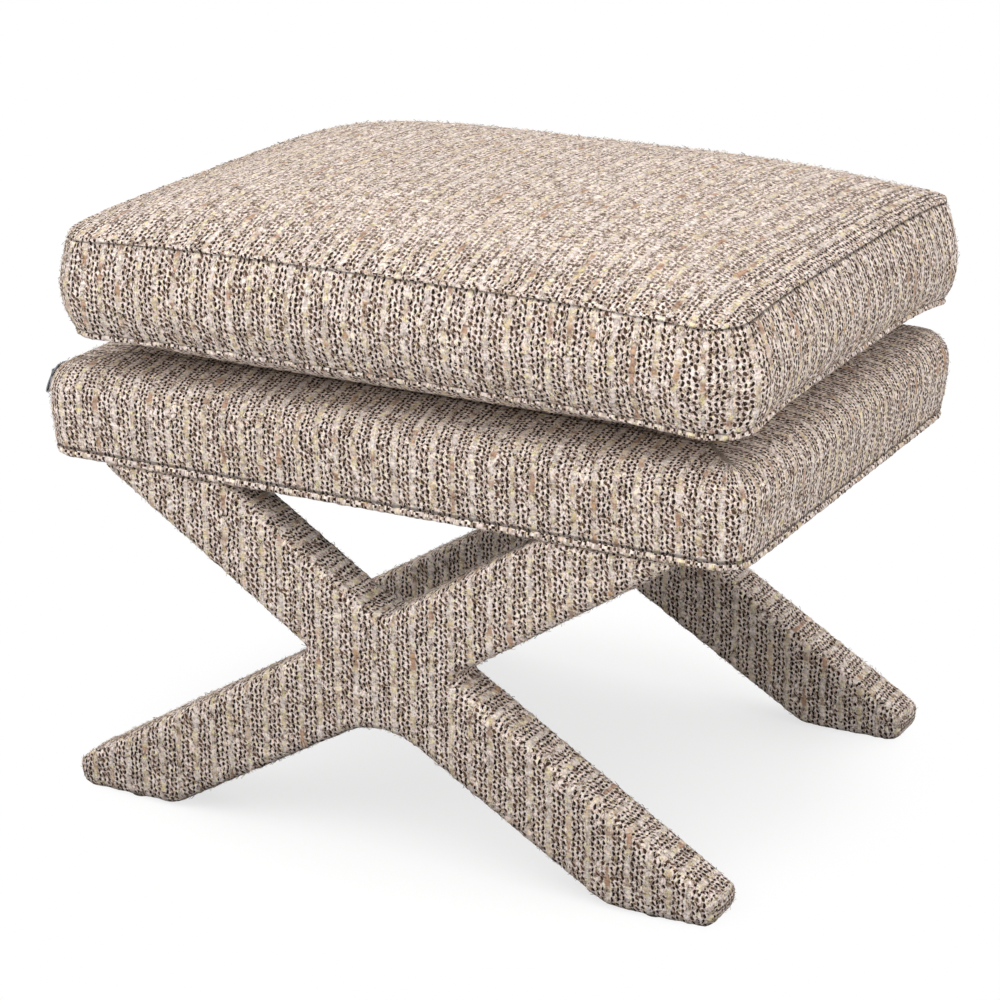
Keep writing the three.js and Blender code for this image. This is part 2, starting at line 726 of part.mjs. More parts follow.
const cushion = (geometry) => geometry.translate(cushionShiftX, cushionShiftY, 0);
add("cushion_cover", cushion(cushionCover()), tweed);
add("cushion_foam", cushion(cushionForm(cushionFabric + gap)), foam);
add("cushion_upper_welt", cushion(cushionWelt(1)), welt);
add("cushion_lower_welt", cushion(cushionWelt(0)), welt);
add("cushion_zip", cushion(zipTape()), zipCloth);
add("zip_slider", cushion(zipSlider()), steel);

export default stool;
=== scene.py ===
# %% [markdown]
# # A stool on two X frames, covered in nubby tweed
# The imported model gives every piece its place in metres. Here the soft pieces get the form and the cloth that a
# rigid solid can't show: plump panels, welts, a weave that follows each face, and loose fibres along the edges.
# The wood, steel and plastic pieces keep their solids and only get a finish.

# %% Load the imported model
import json
import math
from contextlib import contextmanager

import bmesh
import bpy
import numpy as np
from mathutils import Matrix, Vector, kdtree, noise


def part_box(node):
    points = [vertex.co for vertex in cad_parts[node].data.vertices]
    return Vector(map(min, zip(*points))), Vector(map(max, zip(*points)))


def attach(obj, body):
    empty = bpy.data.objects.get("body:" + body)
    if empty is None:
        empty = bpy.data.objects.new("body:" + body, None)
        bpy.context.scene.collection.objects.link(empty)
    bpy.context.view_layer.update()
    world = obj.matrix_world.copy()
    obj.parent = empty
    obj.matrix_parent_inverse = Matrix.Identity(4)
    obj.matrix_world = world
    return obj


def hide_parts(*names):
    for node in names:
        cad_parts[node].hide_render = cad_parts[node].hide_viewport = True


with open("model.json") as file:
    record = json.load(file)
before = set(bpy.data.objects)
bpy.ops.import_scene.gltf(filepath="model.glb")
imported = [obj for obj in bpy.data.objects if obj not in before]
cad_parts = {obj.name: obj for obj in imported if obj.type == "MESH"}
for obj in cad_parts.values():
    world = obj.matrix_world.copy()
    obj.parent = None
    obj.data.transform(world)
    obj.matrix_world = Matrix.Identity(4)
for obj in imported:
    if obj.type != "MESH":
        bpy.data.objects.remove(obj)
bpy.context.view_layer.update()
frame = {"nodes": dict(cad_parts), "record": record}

MM = 0.001


def in_mm(size):
    return [round(value / MM, 1) for value in size]


# %% [markdown]
# ## The camera
# The photograph was taken from the front, a little to the right and from above, with a long lens. Its direction,
# distance and lens were worked out beforehand from the corners and the outline of the stool. A camera looks along
# its own -Z, so two turned axes and the line of sight make its rotation.

# %% Camera
VIEW_AZIMUTH = math.radians(27.6025)
VIEW_ELEVATION = math.radians(19.454)
VIEW_ROLL = math.radians(-0.007)
VIEW_DISTANCE = 2.524
VIEW_HEIGHT = 0.2284
FOCAL_PIXELS = 3044
CENTRE_PIXELS = (507.7, 503.9)
PICTURE = 1000


def place_camera():
    """Put the camera where the photograph was taken from."""
    around, up = VIEW_AZIMUTH, VIEW_ELEVATION
    back = Vector((math.sin(around) * math.cos(up), -math.cos(around) * math.cos(up), math.sin(up)))
    level = Vector((math.cos(around), math.sin(around), 0))
    over = back.cross(level)
    right = level * math.cos(VIEW_ROLL) + over * math.sin(VIEW_ROLL)
    over = back.cross(right)
    eye = Vector((0, 0, VIEW_HEIGHT)) + back * VIEW_DISTANCE
    data = bpy.data.cameras.new("view")
    data.lens = data.sensor_width * FOCAL_PIXELS / PICTURE
    data.shift_x = (PICTURE / 2 - CENTRE_PIXELS[0]) / PICTURE
    data.shift_y = (CENTRE_PIXELS[1] - PICTURE / 2) / PICTURE
    camera = bpy.data.objects.new("view", data)
    turn = Matrix((right, over, back)).transposed().to_4x4()
    camera.matrix_world = Matrix.Translation(eye) @ turn
    bpy.context.collection.objects.link(camera)
    bpy.context.scene.camera = camera
    return camera


camera = place_camera()
print("camera at", [round(value, 3) for value in camera.location], "lens", round(camera.data.lens, 1))

# %% [markdown]
# ## Working by hand, in code
# Modelling by hand means choosing parts of a mesh and using a tool on them. A few helpers do the choosing: one
# selects a single object, one selects faces or edges by a test on their place or direction, one draws a line by
# extruding a point, and a few read and write the points of a mesh as one array, for the soft forms that a formula
# gives.

# %% Choose and extrude


def only(piece):
    """Select this object and no other."""
    bpy.ops.object.select_all(action="DESELECT")
    piece.select_set(True)
    bpy.context.view_layer.objects.active = piece


@contextmanager
def editing():
    """Edit mode, for the lines under it."""
    bpy.ops.object.mode_set(mode="EDIT")
    yield
    bpy.ops.object.mode_set(mode="OBJECT")


def choose(piece, kind, test):
    """In edit mode, select the points, edges or faces that pass a test, and say how many."""
    bpy.ops.mesh.select_mode(type=kind)
    bpy.ops.mesh.select_all(action="DESELECT")
    shape = bmesh.from_edit_mesh(piece.data)
    parts = {"VERT": shape.verts, "EDGE": shape.edges, "FACE": shape.faces}[kind]
    chosen = [part for part in parts if test(part)]
    for part in chosen:
        part.select_set(True)
    bmesh.update_edit_mesh(piece.data)
    return len(chosen)


def runs_along(axis):
    """A test for the edges that run along one axis: 0, 1 or 2."""
    return lambda edge: abs((edge.verts[0].co - edge.verts[1].co).normalized()[axis]) > 0.9


def extruded(step):
    """Extrude what is selected, by a step."""
    bpy.ops.mesh.extrude_region_move(TRANSFORM_OT_translate={"value": step})


def linked(name, data):
    """A new object with this data, in the scene."""
    piece = bpy.data.objects.new(name, data)
    bpy.context.collection.objects.link(piece)
    return piece


def turned_outward():
    """In edit mode, point all the normals out of the piece."""
    bpy.ops.mesh.select_all(action="SELECT")
    bpy.ops.mesh.normals_make_consistent(inside=False)


# %% Start a piece


def named(name):
    """Name the object just made, and bring its place into its mesh."""
    piece = bpy.context.object
    piece.name = name
    bpy.ops.object.transform_apply(location=True, rotation=True, scale=True)
    return piece


def block(name, low, high):
    """A box between two corners, as the start of a piece."""
    low, high = Vector(low), Vector(high)
    bpy.ops.object.select_all(action="DESELECT")
    bpy.ops.mesh.primitive_cube_add(size=1, location=(low + high) / 2, scale=high - low)
    return named(name)


def traced(name, start, steps):
    """A line, drawn by extruding one point from step to step. It is left whole and selected."""
    bpy.ops.object.select_all(action="DESELECT")
    bpy.ops.mesh.primitive_plane_add(size=MM, location=start)
    piece = named(name)
    with editing():
        bpy.ops.mesh.select_mode(type="VERT")
        bpy.ops.mesh.select_all(action="SELECT")
        bpy.ops.mesh.merge(type="CENTER")
        for step in steps:
            extruded(step)
        bpy.ops.mesh.select_all(action="SELECT")
    return piece


def applied(piece, kind, **settings):
    """Add a modifier, set it and apply it."""
    only(piece)
    modifier = piece.modifiers.new(kind.title(), kind)
    for key, value in settings.items():
        setattr(modifier, key, value)
    bpy.ops.object.modifier_apply(modifier=modifier.name)
    return piece


def even_skin(piece, size):
    """Give a closed form an even skin of small quads."""
    return applied(piece, "REMESH", mode="VOXEL", voxel_size=size, use_smooth_shade=True)


# %% Read and shape the points of a mesh


def read_all(parts, key, width=1, kind=float):
    """One value, or one row of values, for each point, face or corner of a mesh."""
    store = np.empty(len(parts) * width, dtype=kind)
    parts.foreach_get(key, store)
    return store.reshape(-1, width) if width > 1 else store


def points_of(piece):
    return read_all(piece.data.vertices, "co", 3)


def move_points(piece, points):
    piece.data.vertices.foreach_set("co", np.asarray(points, dtype=float).ravel())
    piece.data.update()


def point_normals(piece):
    return read_all(piece.data.vertex_normals, "vector", 3, np.float32).astype(float)


def waves_at(points, pitch):
    """Smooth noise from -1 to 1 at each point. A larger pitch gives finer waves."""
    return np.array([noise.noise(Vector(point) * pitch) for point in points])


def eased(value, low, high):
    """0 below low, 1 above high, and a soft step between them."""
    share = np.clip((value - low) / (high - low), 0, 1)
    return share * share * (3 - 2 * share)


def finished(piece, material, body):
    """Give a piece its material, and say which body carries it."""
    piece.data.materials.clear()
    piece.data.materials.append(material)
    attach(piece, body)


# %% [markdown]
# ## Shader sums
# A procedural finish is arithmetic on the place of a point. Writing each Math node by hand hides that arithmetic,
# so a small class wraps a socket and lets Python's own signs add the nodes. A second class holds a node tree and
# makes every other node with one method. A finish is such a tree, in a material of its own.

# %% A socket that can be used in sums


class Amount:
    """A number that changes over a surface. Each sum with it adds a Math node."""

    def __init__(self, tree, socket):
        self.tree = tree
        self.socket = socket

    def maths(self, operation, *terms):
        node = self.tree.node("ShaderNodeMath", {"operation": operation}, dict(enumerate(terms)))
        return Amount(self.tree, node.outputs[0])

    def __add__(self, other):
        return self.maths("ADD", self, other)

    def __radd__(self, other):
        return self.maths("ADD", other, self)

    def __sub__(self, other):
        return self.maths("SUBTRACT", self, other)

    def __rsub__(self, other):
        return self.maths("SUBTRACT", other, self)

    def __mul__(self, other):
        return self.maths("MULTIPLY", self, other)

    def __rmul__(self, other):
        return self.maths("MULTIPLY", other, self)

    def __truediv__(self, other):
        return self.maths("DIVIDE", self, other)

    def __pow__(self, other):
        return self.maths("POWER", self, other)

    def __mod__(self, other):
        return self.maths("FLOORED_MODULO", self, other)

    def __abs__(self):
        return self.maths("ABSOLUTE", self)

    def floor(self):
        return self.maths("FLOOR", self)

    def above(self, limit):
        return self.maths("GREATER_THAN", self, limit)

    def most(self, other):
        return self.maths("MAXIMUM", self, other)

    def sine(self):
        return self.maths("SINE", self)

    def step(self, low, high):
        """A soft step from 0 at low to 1 at high. low may be the larger."""
        ends = {"Value": self, "From Min": low, "From Max": high}
        node = self.tree.node("ShaderNodeMapRange", {"interpolation_type": "SMOOTHSTEP"}, ends)
        return Amount(self.tree, node.outputs["Result"])


# %% A tree of nodes


class NodeTree:
    """The nodes of a material or a world."""

    def __init__(self, owner):
        owner.use_nodes = True
        self.tree = owner.node_tree

    def node(self, kind, settings=None, values=None):
        """One node: its settings, or a ramp's stops, and then its sockets' values or links."""
        node = self.tree.nodes.new(kind)
        for key, value in (settings or {}).items():
            if key == "stops":
                elements = node.color_ramp.elements
                while len(elements) < len(value):
                    elements.new(0.5)
                for element, (place, colour) in zip(elements, value):
                    element.position = place
                    element.color = (*colour, 1)
            else:
                setattr(node, key, value)
        for key, value in (values or {}).items():
            self.feed(node.inputs[key], value)
        return node

    def feed(self, socket, value):
        if isinstance(value, Amount):
            self.tree.links.new(value.socket, socket)
        elif isinstance(value, bpy.types.NodeSocket):
            self.tree.links.new(value, socket)
        else:
            socket.default_value = value

    def pair(self, x, y, z=0):
        return self.node("ShaderNodeCombineXYZ", {}, {"X": x, "Y": y, "Z": z}).outputs[0]

    def noise(self, vector, scale=1.0, detail=2.0, roughness=0.5):
        values = {"Vector": vector, "Scale": scale, "Detail": detail, "Roughness": roughness}
        return Amount(self, self.node("ShaderNodeTexNoise", {}, values).outputs["Fac"])

    def dice(self, x, y):
        """A random number from 0 to 1 for each pair of whole numbers."""
        values = {"Vector": self.pair(x, y)}
        return Amount(self, self.node("ShaderNodeTexWhiteNoise", {"noise_dimensions": "2D"}, values).outputs[0])

    def ramp(self, amount, stops):
        """The colours of the stops, one after the other as the amount grows."""
        return self.node("ShaderNodeValToRGB", {"stops": stops}, {"Fac": amount}).outputs["Color"]

    def blend(self, share, first, second, kind="MIX"):
        """Mix two colours. A share of 1 gives the second."""
        node = self.node("ShaderNodeMix", {"data_type": "RGBA", "blend_type": kind}, {"Factor": share})
        for key, value in ((6, first), (7, second)):
            self.feed(node.inputs[key], value if not isinstance(value, tuple) else (*value, 1))
        return node.outputs[2]

    def shaded(self, colour, share):
        """A colour times a number."""
        grey = self.node("ShaderNodeCombineColor", {}, {"Red": share, "Green": share, "Blue": share}).outputs[0]
        return self.blend(1.0, colour, grey, "MULTIPLY")

    def ray_is(self, *kinds):
        """1 for rays of these kinds and 0 for the others."""
        path = self.node("ShaderNodeLightPath").outputs
        share = Amount(self, path[kinds[0]])
        for kind in kinds[1:]:
            share = share.most(Amount(self, path[kind]))
        return share


# %% A finish and its colours


class Finish(NodeTree):
    """A material under construction."""

    def __init__(self, name, roughness=0.8, metallic=0.0, sheen=0.0, specular=0.3):
        self.material = bpy.data.materials.new(name)
        super().__init__(self.material)
        self.shader = self.tree.nodes["Principled BSDF"]
        self.shader.inputs["Roughness"].default_value = roughness
        self.shader.inputs["Metallic"].default_value = metallic
        self.shader.inputs["Sheen Weight"].default_value = sheen
        self.shader.inputs["Specular IOR Level"].default_value = specular

    def done(self, colour, height=None, roughness=None):
        """Join the colour, and a height in millimetres for the bump, to the shader."""
        self.feed(self.shader.inputs["Base Color"], colour)
        if height is not None:
            bump = self.node("ShaderNodeBump", {}, {"Height": height, "Distance": MM, "Strength": 1.0})
            self.feed(self.shader.inputs["Normal"], bump.outputs["Normal"])
        if roughness is not None:
            self.feed(self.shader.inputs["Roughness"], roughness)
        return self.material


def paint(red, green, blue):
    """A colour as a screen shows it, 0 to 255, as the shader needs it."""
    shares = [value / 255 for value in (red, green, blue)]
    return tuple(s / 12.92 if s < 0.04045 else ((s + 0.055) / 1.055) ** 2.4 for s in shares)


print("colour check, mid grey:", round(paint(128, 128, 128)[0], 3))

# %% [markdown]
# ## The tweed
# The cloth is a nubby tweed. Looked at closely it repeats every 17 mm: three columns where a nearly black yarn
# shows as short dashes that step from side to side, and one thick slub yarn, which swells, thins and changes
# colour as it runs, from ivory to straw, tan and rust. The ground between them is pale, full of lighter lumps, with
# painted shade in its furrows and a painted highlight round each dash.
# The pattern is drawn from two lengths that each piece carries as its own map: across the columns and along them.
# Rounding down a length gives the number of a column or a row, and dice thrown for these numbers vary each dash.
# A piece may also carry its distance from a seam, as a number that is 50 on the seam itself: there the cloth is
# pinched and a band is darkened as painted shade; far in from it, on the cushion's panels, fewer dark dashes show,
# as painted light that makes the top panel paler.

# %% Colours of the yarns
SLUB_YARN = [
    (0.00, paint(230, 222, 217)),
    (0.28, paint(252, 243, 238)),
    (0.40, paint(226, 213, 206)),
    (0.48, paint(248, 240, 228)),
    (0.56, paint(224, 212, 164)),
    (0.62, paint(242, 231, 223)),
    (0.72, paint(214, 194, 150)),
    (0.79, paint(238, 224, 215)),
    (0.92, paint(192, 158, 134)),
]
# The dark brown end of the ground's colours is painted shade in the furrows between the yarns; the rest is the
# yarn's own tone.
GROUND_YARN_AND_FURROW_SHADE = [
    (0.10, paint(104, 86, 73)),
    (0.34, paint(180, 164, 153)),
    (0.52, paint(220, 205, 196)),
    (0.72, paint(255, 245, 240)),
]
TINTS = [
    (0.26, paint(255, 249, 210)),
    (0.40, paint(250, 247, 232)),
    (0.52, paint(246, 241, 243)),
    (0.64, paint(255, 243, 234)),
    (0.76, paint(240, 224, 190)),
]
DARK_YARN = [(0.0, paint(20, 9, 4)), (0.6, paint(36, 22, 14)), (1.0, paint(92, 68, 54))]

# %% Places on the cloth
SEAM_MARK = 50
COLUMN = 4.22
COLUMNS = 4
ROW = 4.3
SWAY, SHAKE, JOG = 4.0, 1.1, 2.2


def cloth_place(cloth):
    """The piece's own map in millimetres, with columns that wander a little as in loose cloth."""
    place = cloth.node("ShaderNodeUVMap", {"uv_map": "weave"}).outputs["UV"]
    split = cloth.node("ShaderNodeSeparateXYZ", {}, {"Vector": place})
    across = Amount(cloth, split.outputs["X"]) / MM
    along = Amount(cloth, split.outputs["Y"]) / MM
    flat = cloth.pair(across, along)
    sway = cloth.noise(flat, 1 / 22, 1) - 0.5
    shake = cloth.noise(flat, 1 / 5, 1) - 0.5
    jog = cloth.noise(cloth.pair(across, along, 11.0), 1 / 4, 1) - 0.5
    return across + sway * SWAY + shake * SHAKE, along + jog * JOG


# %% The thick yarn


def slub_yarn(cloth, across, along, group, fibre, lumps):
    """The thick yarn in the middle of each fourth column: where it shows, and its colour."""
    share = across / (COLUMN * COLUMNS) + 0.625
    away = abs(share - share.floor() - 0.5) * COLUMNS
    swell = cloth.noise(cloth.pair(along / 8, group * 3.7), 1, 3, 0.7)
    half = swell * 2.4 - 0.80 + fibre * 1.0 + lumps * 0.5
    shown = (away - half).step(0.20, -0.20)
    run = cloth.noise(cloth.pair(along / 18, group * 5.3), 1, 1)
    colour = cloth.ramp((run - 0.5) * 3.0 + 0.45 + lumps * 0.4, SLUB_YARN)
    raised = (1 - (away / half.most(0.2)) ** 2).most(0)
    return shown, colour, raised


# %% The dark yarn


def dark_dashes(cloth, across, along, column, row, in_row, within, fibre):
    """The dark yarn: a dash in each row, and the thin thread that joins the dashes. Also the rim round a dash, a
    painted highlight.
    """
    throw, size = cloth.dice(column, row), cloth.dice(column + 7, row)
    side = (row % 2) * 2 - 1
    patch = cloth.noise(cloth.pair(across / 9, along / 26), 1, 2) - 0.5
    bow = in_row * in_row * (throw * 2.0 - 1.0)
    off = within - side * 0.10 + in_row * (size * 0.9 - 0.3) + bow + fibre * 0.35
    half_width = size * 0.12 + 0.21 + patch * 0.18
    half_length = throw * 0.16 + 0.32 + patch * 0.22
    away = (off / half_width) ** 2 + (in_row / half_length) ** 2
    path = ((row + in_row + 0.5) * math.pi).sine() * 0.22
    thread = abs(within - path + fibre * 0.35).step(0.15, 0.04)
    shown = (throw * 0.7 + size * 0.3 + patch).above(0.08)
    dash = (away.step(1.35, 0.70) * shown).most(thread * 0.4)
    # The rim round a dash is raised a little and lightens the ground there: a painted highlight.
    return dash, away.step(3.2, 1.3) * (1 - dash), cloth.ramp(size, DARK_YARN)


# %% Tweed


def tweed_finish(name):
    cloth = Finish(name, roughness=0.95, sheen=0.04, specular=0.04)
    across, along = cloth_place(cloth)
    column = (across / COLUMN).floor()
    within = across / COLUMN - column - 0.5
    group = (column / COLUMNS).floor()
    run = along / ROW + cloth.dice(column, 3) * 0.5 + (column % 2) * 0.5
    row = run.floor()
    in_row = run - row - 0.5
    fibre = cloth.noise(cloth.pair(across * 2.0, along * 1.3), 0.55, 2, 0.6) - 0.5
    lumps = cloth.noise(cloth.pair(across, along, 7.0), 0.36, 2, 0.5) - 0.5
    slub, yarn, raised = slub_yarn(cloth, across, along, group, fibre, lumps)
    dash, rim, dark = dark_dashes(cloth, across, along, column, row, in_row, within, fibre)
    seam_node = cloth.node("ShaderNodeAttribute", {"attribute_name": "seam_place"})
    seam = Amount(cloth, seam_node.outputs["Fac"]) - SEAM_MARK
    # Painted shade: a dark band along each seam, with a real pinch in the relief.
    seam_pinch_and_shade = abs(seam + fibre * 3.0 + lumps * 2.5).step(2.4, 0.5)
    # Painted light: inward from the seams the cushion's panels lose some dark dashes, so the top panel looks paler.
    painted_panel_light = seam.step(4, 70)
    dash = dash * (1 - slub * 0.96) * (1 - painted_panel_light * 0.42)

    weft = along / ROW + cloth.dice(group, 9)
    weft_near = abs(weft - weft.floor() - 0.5) * 2
    # Low lumps take the dark end, painted shade of the furrows; the rim of a dash lightens the ground, a painted
    # highlight.
    ground = cloth.ramp(fibre * 1.1 + lumps * 2.1 + weft_near * 0.10 + rim * 0.20 + 0.43, GROUND_YARN_AND_FURROW_SHADE)
    yarn = cloth.shaded(yarn, fibre * 0.7 + lumps * 1.4 + 0.96 - weft_near.step(0.5, 1.0) * 0.2)
    colour = cloth.blend(slub * 0.94, ground, yarn)
    tint = cloth.ramp(cloth.noise(cloth.pair(across / 3.2, along / 6, 3.0), 1, 2), TINTS)
    colour = cloth.blend(1.0, colour, tint, "MULTIPLY")
    colour = cloth.blend(dash * 0.98, colour, dark)
    # The painted shade of the seams.
    colour = cloth.shaded(colour, 1 - seam_pinch_and_shade * 0.66)

    round_column = 1 - (within * 2) ** 2
    height = round_column * 0.2 * (1 - slub) + raised * 0.7 * slub
    height = height + rim * 0.25 - dash * 0.2 + lumps * 0.8 + fibre * 0.5 - seam_pinch_and_shade * 1.2
    return cloth.done(colour, height)


tweed = tweed_finish("nubby_tweed")
print("tweed repeats every", COLUMN * COLUMNS, "mm across")


# %% [markdown]
# ## Laying the cloth
# A cutter lays each panel on the cloth before it is sewn. In the same way every corner of every face gets its
# place on the cloth here, by a rule that belongs to the piece. The rules need the way round a box with rounded
# corners, because the cloth of a boxing or of a welt runs round it.

# %% A map of the cloth on each piece


def lay_weave(piece, rule):
    """Give each corner of each face its place on the cloth, by a rule for its face's place and direction."""
    mesh = piece.data
    layer = mesh.uv_layers.get("weave") or mesh.uv_layers.new(name="weave")
    corner_point = read_all(mesh.loops, "vertex_index", kind=np.int32)
    face = np.repeat(np.arange(len(mesh.polygons)), read_all(mesh.polygons, "loop_total", kind=np.int32))
    middle, normal = (read_all(mesh.polygons, key, 3)[face] for key in ("center", "normal"))
    across, along = rule(points_of(piece)[corner_point], middle, normal)
    layer.uv.foreach_set("vector", np.column_stack([across, along]).ravel())
    return corner_point, across


def mark_seam(piece, distance):
    """Keep each point's distance from a seam, in metres, so that the cloth knows where it is pinched and painted
    with shade.
    """
    layer = piece.data.attributes.get("seam_place") or piece.data.attributes.new("seam_place", "FLOAT", "POINT")
    layer.data.foreach_set("value", (distance / MM + SEAM_MARK).astype(np.float32))


def round_plan(points, half_x, half_y, corner):
    """For points about a rounded rectangle: the way out of it, the reach from its middle, and the way round it."""
    x, y = points[:, 0], points[:, 1]
    flat_x, flat_y = half_x - corner, half_y - corner
    over_x, over_y = np.abs(x) - flat_x, np.abs(y) - flat_y
    in_corner = (over_x > 0) & (over_y > 0)
    angle = np.arctan2(np.maximum(over_y, 0), np.maximum(over_x, 1e-9))
    on_side = (over_x > over_y) & ~in_corner
    out_x = np.where(in_corner, np.cos(angle), on_side) * np.sign(x)
    out_y = np.where(in_corner, np.sin(angle), ~on_side) * np.sign(y)
    depth = np.where(in_corner, corner - np.hypot(over_x, over_y), corner - np.maximum(over_x, over_y))
    reach = 1 - np.clip(depth / min(half_x, half_y), 0, 1)
    arc = corner * math.pi / 2
    front = np.where(in_corner, flat_x + corner * (math.pi / 2 - angle), np.minimum(np.abs(x), flat_x))
    side = flat_x + arc + flat_y - np.maximum(-y, -flat_y).clip(None, flat_y)
    rear = flat_x + arc + 2 * flat_y + arc + flat_x - front
    way = np.where(on_side, side, np.where(y < 0, front, rear)) * np.sign(x)
    return np.column_stack([out_x, out_y]), reach, way


def way_round(corners, middles, *plan):
    """The way out and the way round at the corners of faces, also for faces across the join at the rear."""
    out, _, way = round_plan(corners, *plan)
    _, _, middle_way = round_plan(middles, *plan)
    return out, np.where(np.abs(way - middle_way) > 0.5, -way, way)


# %% [markdown]
# ## The loose cushion
# A box cushion is two panels and a strip, the boxing, with a welt in each seam. Filled, it doesn't stay a box: the
# top panel rises to a crown, the boxing swells, and the seams pull in along each side but not at the corners. It
# starts as a block with rounded upright edges. An even skin lets a formula push it close to its form, and a short
# cloth simulation with air pressure, held at the seams, gives the last few millimetres of natural swelling.

# %% Cushion sizes from the solids
upper_low, upper_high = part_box("cushion_upper_welt")
lower_low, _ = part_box("cushion_lower_welt")
base_welt_low, base_welt_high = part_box("base_welt")
base_low, base_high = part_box("base_cover")
WELT_RADIUS = (base_welt_high.z - base_welt_low.z) / 2
WELT_INSET = 1 * MM
cushion_middle = (upper_low + upper_high) / 2
CUSHION_HALF_X = (upper_high.x - upper_low.x) / 2 - WELT_RADIUS + WELT_INSET
CUSHION_HALF_Y = (upper_high.y - upper_low.y) / 2 - WELT_RADIUS + WELT_INSET
UPPER_SEAM = upper_high.z - WELT_RADIUS
LOWER_SEAM = lower_low.z + WELT_RADIUS
CUSHION_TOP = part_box("cushion_cover")[1].z
CUSHION_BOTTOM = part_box("cushion_cover")[0].z
CUSHION_CORNER = 37 * MM
CUSHION_PLAN = (CUSHION_HALF_X, CUSHION_HALF_Y, CUSHION_CORNER)
LOWER_INSET = 3 * MM
LOWER_CORNER_INSET = 1 * MM
BULGE = 11 * MM
REAR_BULGE_SHARE = 0.5
CORNER_BULGE_SHARE = 0.85
DRAW_IN = 2 * MM
DROOP = 8 * MM
LOWER_DROOP = 7 * MM
LOWER_DROOP_TO_RIGHT = 3 * MM
REAR_RIGHT_DROOP = 6 * MM
REAR_RIGHT_EAR = 4 * MM
CROWN_POWER = 4.0
FULLNESS = 0.95
LEAN = 8 * MM
print("boxing", round((UPPER_SEAM - LOWER_SEAM) / MM, 1), "mm, crown", round((CUSHION_TOP - UPPER_SEAM) / MM, 1))


# %% The form of the boxing and the panels


def cushion_seam_shift(points, share):
    """How far out of the block's outline the boxing lies, at a share of its height."""
    x, y = points[:, 0] / CUSHION_HALF_X, points[:, 1] / CUSHION_HALF_Y
    out, reach, _ = round_plan(points, *CUSHION_PLAN)
    along_side = np.where(np.abs(out[:, 0]) > np.abs(out[:, 1]), y, x)
    free = 1 - np.abs(along_side).clip(0, 1) ** 4
    cornered = (2 * out[:, 0] * out[:, 1]) ** 2
    swell = BULGE * np.sin(math.pi * share**0.8) * (CORNER_BULGE_SHARE + (1 - CORNER_BULGE_SHARE) * free)
    swell = swell * (1 - (1 - REAR_BULGE_SHARE) * out[:, 1].clip(0, 1) ** 6)
    pulled = DRAW_IN * np.abs(np.cos(math.pi * share)) * free
    inset = (LOWER_INSET + LOWER_CORNER_INSET * cornered) * (1 - share)
    leaning = LEAN * (1 - share) * out[:, 0].clip(0, 1) ** 2
    eared = REAR_RIGHT_EAR * 2 * out[:, 0].clip(0, 1) * out[:, 1].clip(0, 1) * share
    return out, reach, swell - pulled - inset + leaning + eared


def cushion_droop(x, y, share):
    """How far a seam hangs down near the corners. x and y go from -1 to 1 across the cushion."""
    lower = LOWER_DROOP + LOWER_DROOP_TO_RIGHT * x + REAR_RIGHT_DROOP * np.clip(x, 0, 1) * np.clip(y, 0, 1)
    return (lower + (DROOP - lower) * share) * np.abs(x * y) ** 4


def cushion_formed(points):
    """Push the points of the plain block to the form of the filled cushion."""
    x, y = points[:, 0] / CUSHION_HALF_X, points[:, 1] / CUSHION_HALF_Y
    share = np.clip((points[:, 2] - LOWER_SEAM) / (UPPER_SEAM - LOWER_SEAM), 0, 1)
    out, reach, shift = cushion_seam_shift(points, share)
    fade = reach**3
    formed = points.copy()
    formed[:, :2] += out * (shift * fade)[:, None]
    dome = np.clip(1 - np.abs(x) ** CROWN_POWER, 0, 1) * np.clip(1 - np.abs(y) ** CROWN_POWER, 0, 1)
    top = share > 0.999
    bottom = share < 0.001
    formed[:, 2] += np.where(top, (CUSHION_TOP - UPPER_SEAM) * dome * FULLNESS, 0)
    formed[:, 2] -= np.where(bottom, (LOWER_SEAM - CUSHION_BOTTOM) * (1 - (1 - dome) ** 3), 0)
    formed[:, 2] -= cushion_droop(x, y, share) * fade
    return formed


# %% Cushion block, skin and form
CLOTH_GRID = 6 * MM
cushion = block(
    "cushion_tweed",
    (-CUSHION_HALF_X, -CUSHION_HALF_Y, LOWER_SEAM),
    (CUSHION_HALF_X, CUSHION_HALF_Y, UPPER_SEAM),
)
with editing():
    upright = choose(cushion, "EDGE", runs_along(2))
    bpy.ops.mesh.bevel(offset=CUSHION_CORNER, segments=10, affect="EDGES")
even_skin(cushion, CLOTH_GRID)
flat = points_of(cushion)
_, flat_reach, _ = round_plan(flat, *CUSHION_PLAN)
to_seam = np.minimum(UPPER_SEAM - flat[:, 2], flat[:, 2] - LOWER_SEAM)
inward = (1 - flat_reach) * min(CUSHION_HALF_X, CUSHION_HALF_Y)
# On the boxing the distance is taken from the seams, where painted shade falls; on the panels it is the way in from
# the edge.
mark_seam(cushion, np.where(to_seam > CLOTH_GRID / 4, -to_seam, inward))
move_points(cushion, cushion_formed(flat))
print("cushion:", upright, "upright edges rounded,", len(cushion.data.vertices), "points")

# %% [markdown]
# The cloth simulation treats the skin as fabric with air inside. The seams and the bottom panel are held by a
# pin group. A cap on how far a point may move keeps the fitted size.

# %% Swell the cushion
PRESSURE = 4
CAP = 3 * MM
FRAMES = 20


